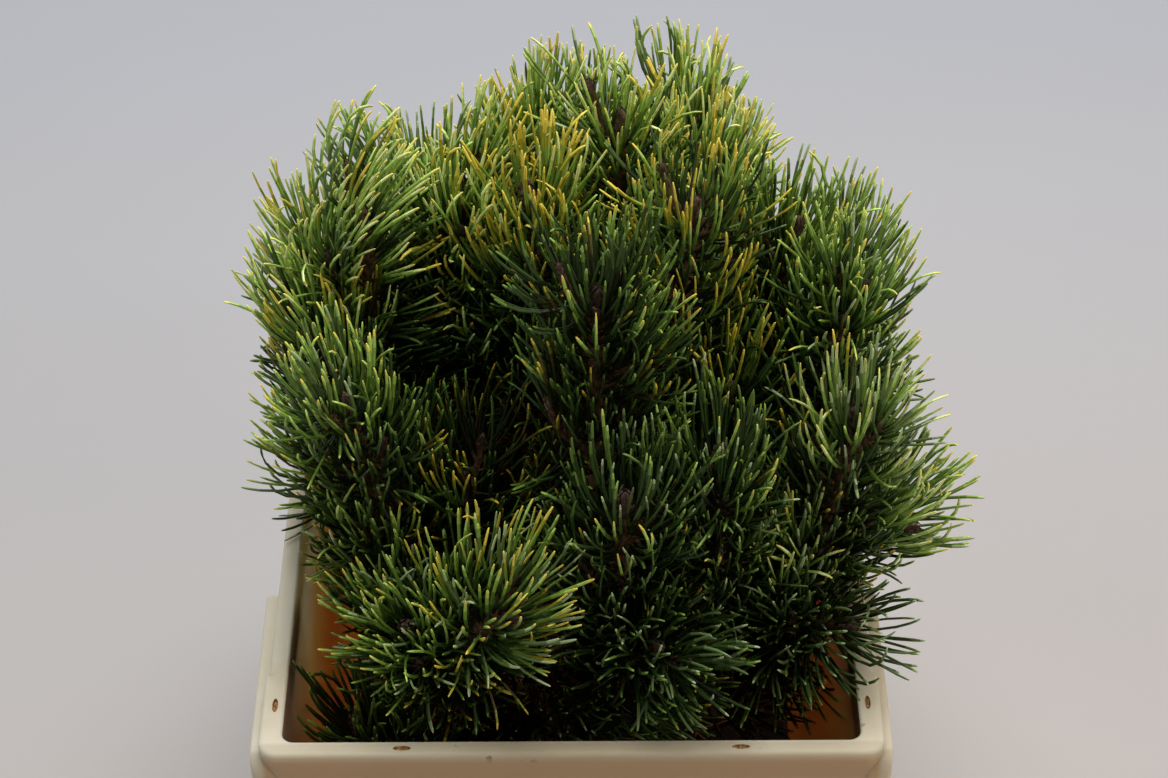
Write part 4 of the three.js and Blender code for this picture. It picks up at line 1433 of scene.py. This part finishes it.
def dress():
    rng = np.random.default_rng(SEED)
    trunk, shoots = grow_plant()
    bark_relief = bark_look("bark_relief", (44, 31, 24), (86, 64, 48), (128, 104, 84), 160, 0.5)
    bark = grow_bark(trunk, shoots).piece("bark_limbs", [bark_relief])
    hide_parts("trunk", *[f"bough_{name}" for name, shoot in shoots.items() if shoot.bough_end > 0])

    rows = gather_needles(shoots, rng)
    sprays, kept = make_needles(rows, rng)
    masses = [f"needles_{name}" for name in shoots]
    for group, piece in enumerate(sprays):
        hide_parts(*masses[group::NEEDLE_GROUPS])

    rows = {key: value[kept] for key, value in rows.items()}
    stem_shell, bud_shell = make_stems_and_buds(shoots, rows, rng)
    stem_bark = bark_look("stem_bark", (42, 28, 20), (80, 56, 38), (122, 96, 66), 420, 0.5)
    sheath_paper = bark_look("sheath_paper", (52, 36, 24), (98, 72, 48), (140, 112, 80), 500, 0.3)
    stems = stem_shell.piece("stems", [stem_bark, sheath_paper])
    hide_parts(*masses)
    stops = [(0.28, (52, 36, 32)), (0.5, (98, 72, 60)), (0.74, (152, 134, 122))]
    grain = 420, 5, 0.6, (1, 1, 0.4)
    scales = grained_look("bud_scales", (96, 74, 62), 0.62, 0.4, grain, stops, (0.35, 0.0006))
    buds = bud_shell.piece("buds", [scales])
    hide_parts(*masses)

    soil = make_soil(rng)
    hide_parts("soil")

    tub, ledges = make_tub()
    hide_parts("tub")

    for piece in (bark, *sprays, stems, buds, soil, tub, ledges):
        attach(piece, "root")


# ---------------- floor, light and camera

CAMERA_PLACE = (0.0065, -0.9924, 1.239)
CAMERA_PITCH = 42.2              # degrees below level
CAMERA_ROLL = -0.3
LENS = 85.0
SENSOR = 36.0
FLOOR_SIZE = 12.0
# name: (place, target, size, power, colour)
LAMPS = {
    "window": ((0.12, 1.0, 2.6), (0, 0, 0.3), 2.4, 91, (1.0, 0.99, 0.97)),
    "fill": ((-1.5, -0.6, 1.9), (0, 0, 0.3), 1.8, 11.5, (0.97, 0.98, 1.0)),
    "warm_side": ((1.6, -1.0, 1.5), (0, 0, 0.25), 1.4, 18, (1.0, 0.84, 0.72)),
}
SKY_COLOR = (0.93, 0.95, 1.0, 1.0)
SKY_STRENGTH = 0.13


def make_floor():
    mesh = bpy.data.meshes.new("floor")
    half = FLOOR_SIZE / 2
    corners = [(half * x, half * y, 0) for x, y in ((-1, -1), (1, -1), (1, 1), (-1, 1))]
    mesh.from_pydata(corners, [], [(0, 1, 2, 3)])
    mesh.materials.append(floor_look())
    place_object("floor", mesh)


def make_lamp(name, place, target, size, power, color):
    data = bpy.data.lights.new(name, "AREA")
    data.shape = "DISK"
    data.size = size
    data.energy = power
    data.color = color
    lamp = place_object(name, data)
    lamp.location = place
    lamp.rotation_euler = (Vector(target) - Vector(place)).to_track_quat("-Z", "Y").to_euler()


def make_stage():
    bpy.context.scene.view_settings.view_transform = "Standard"
    make_floor()
    for name, lamp in LAMPS.items():
        make_lamp(name, *lamp)
    world = bpy.data.worlds.new("studio")
    world.use_nodes = True
    sky = world.node_tree.nodes["Background"]
    sky.inputs["Color"].default_value = SKY_COLOR
    sky.inputs["Strength"].default_value = SKY_STRENGTH
    bpy.context.scene.world = world
    data = bpy.data.cameras.new("camera")
    data.lens = LENS
    data.sensor_width = SENSOR
    data.sensor_fit = "HORIZONTAL"
    camera = place_object("camera", data)
    tilt = Matrix.Rotation(math.radians(90 - CAMERA_PITCH), 4, "X")
    roll = Matrix.Rotation(math.radians(CAMERA_ROLL), 4, "Z")
    camera.matrix_world = Matrix.Translation(CAMERA_PLACE) @ tilt @ roll
    bpy.context.scene.camera = camera


dress()
make_stage()
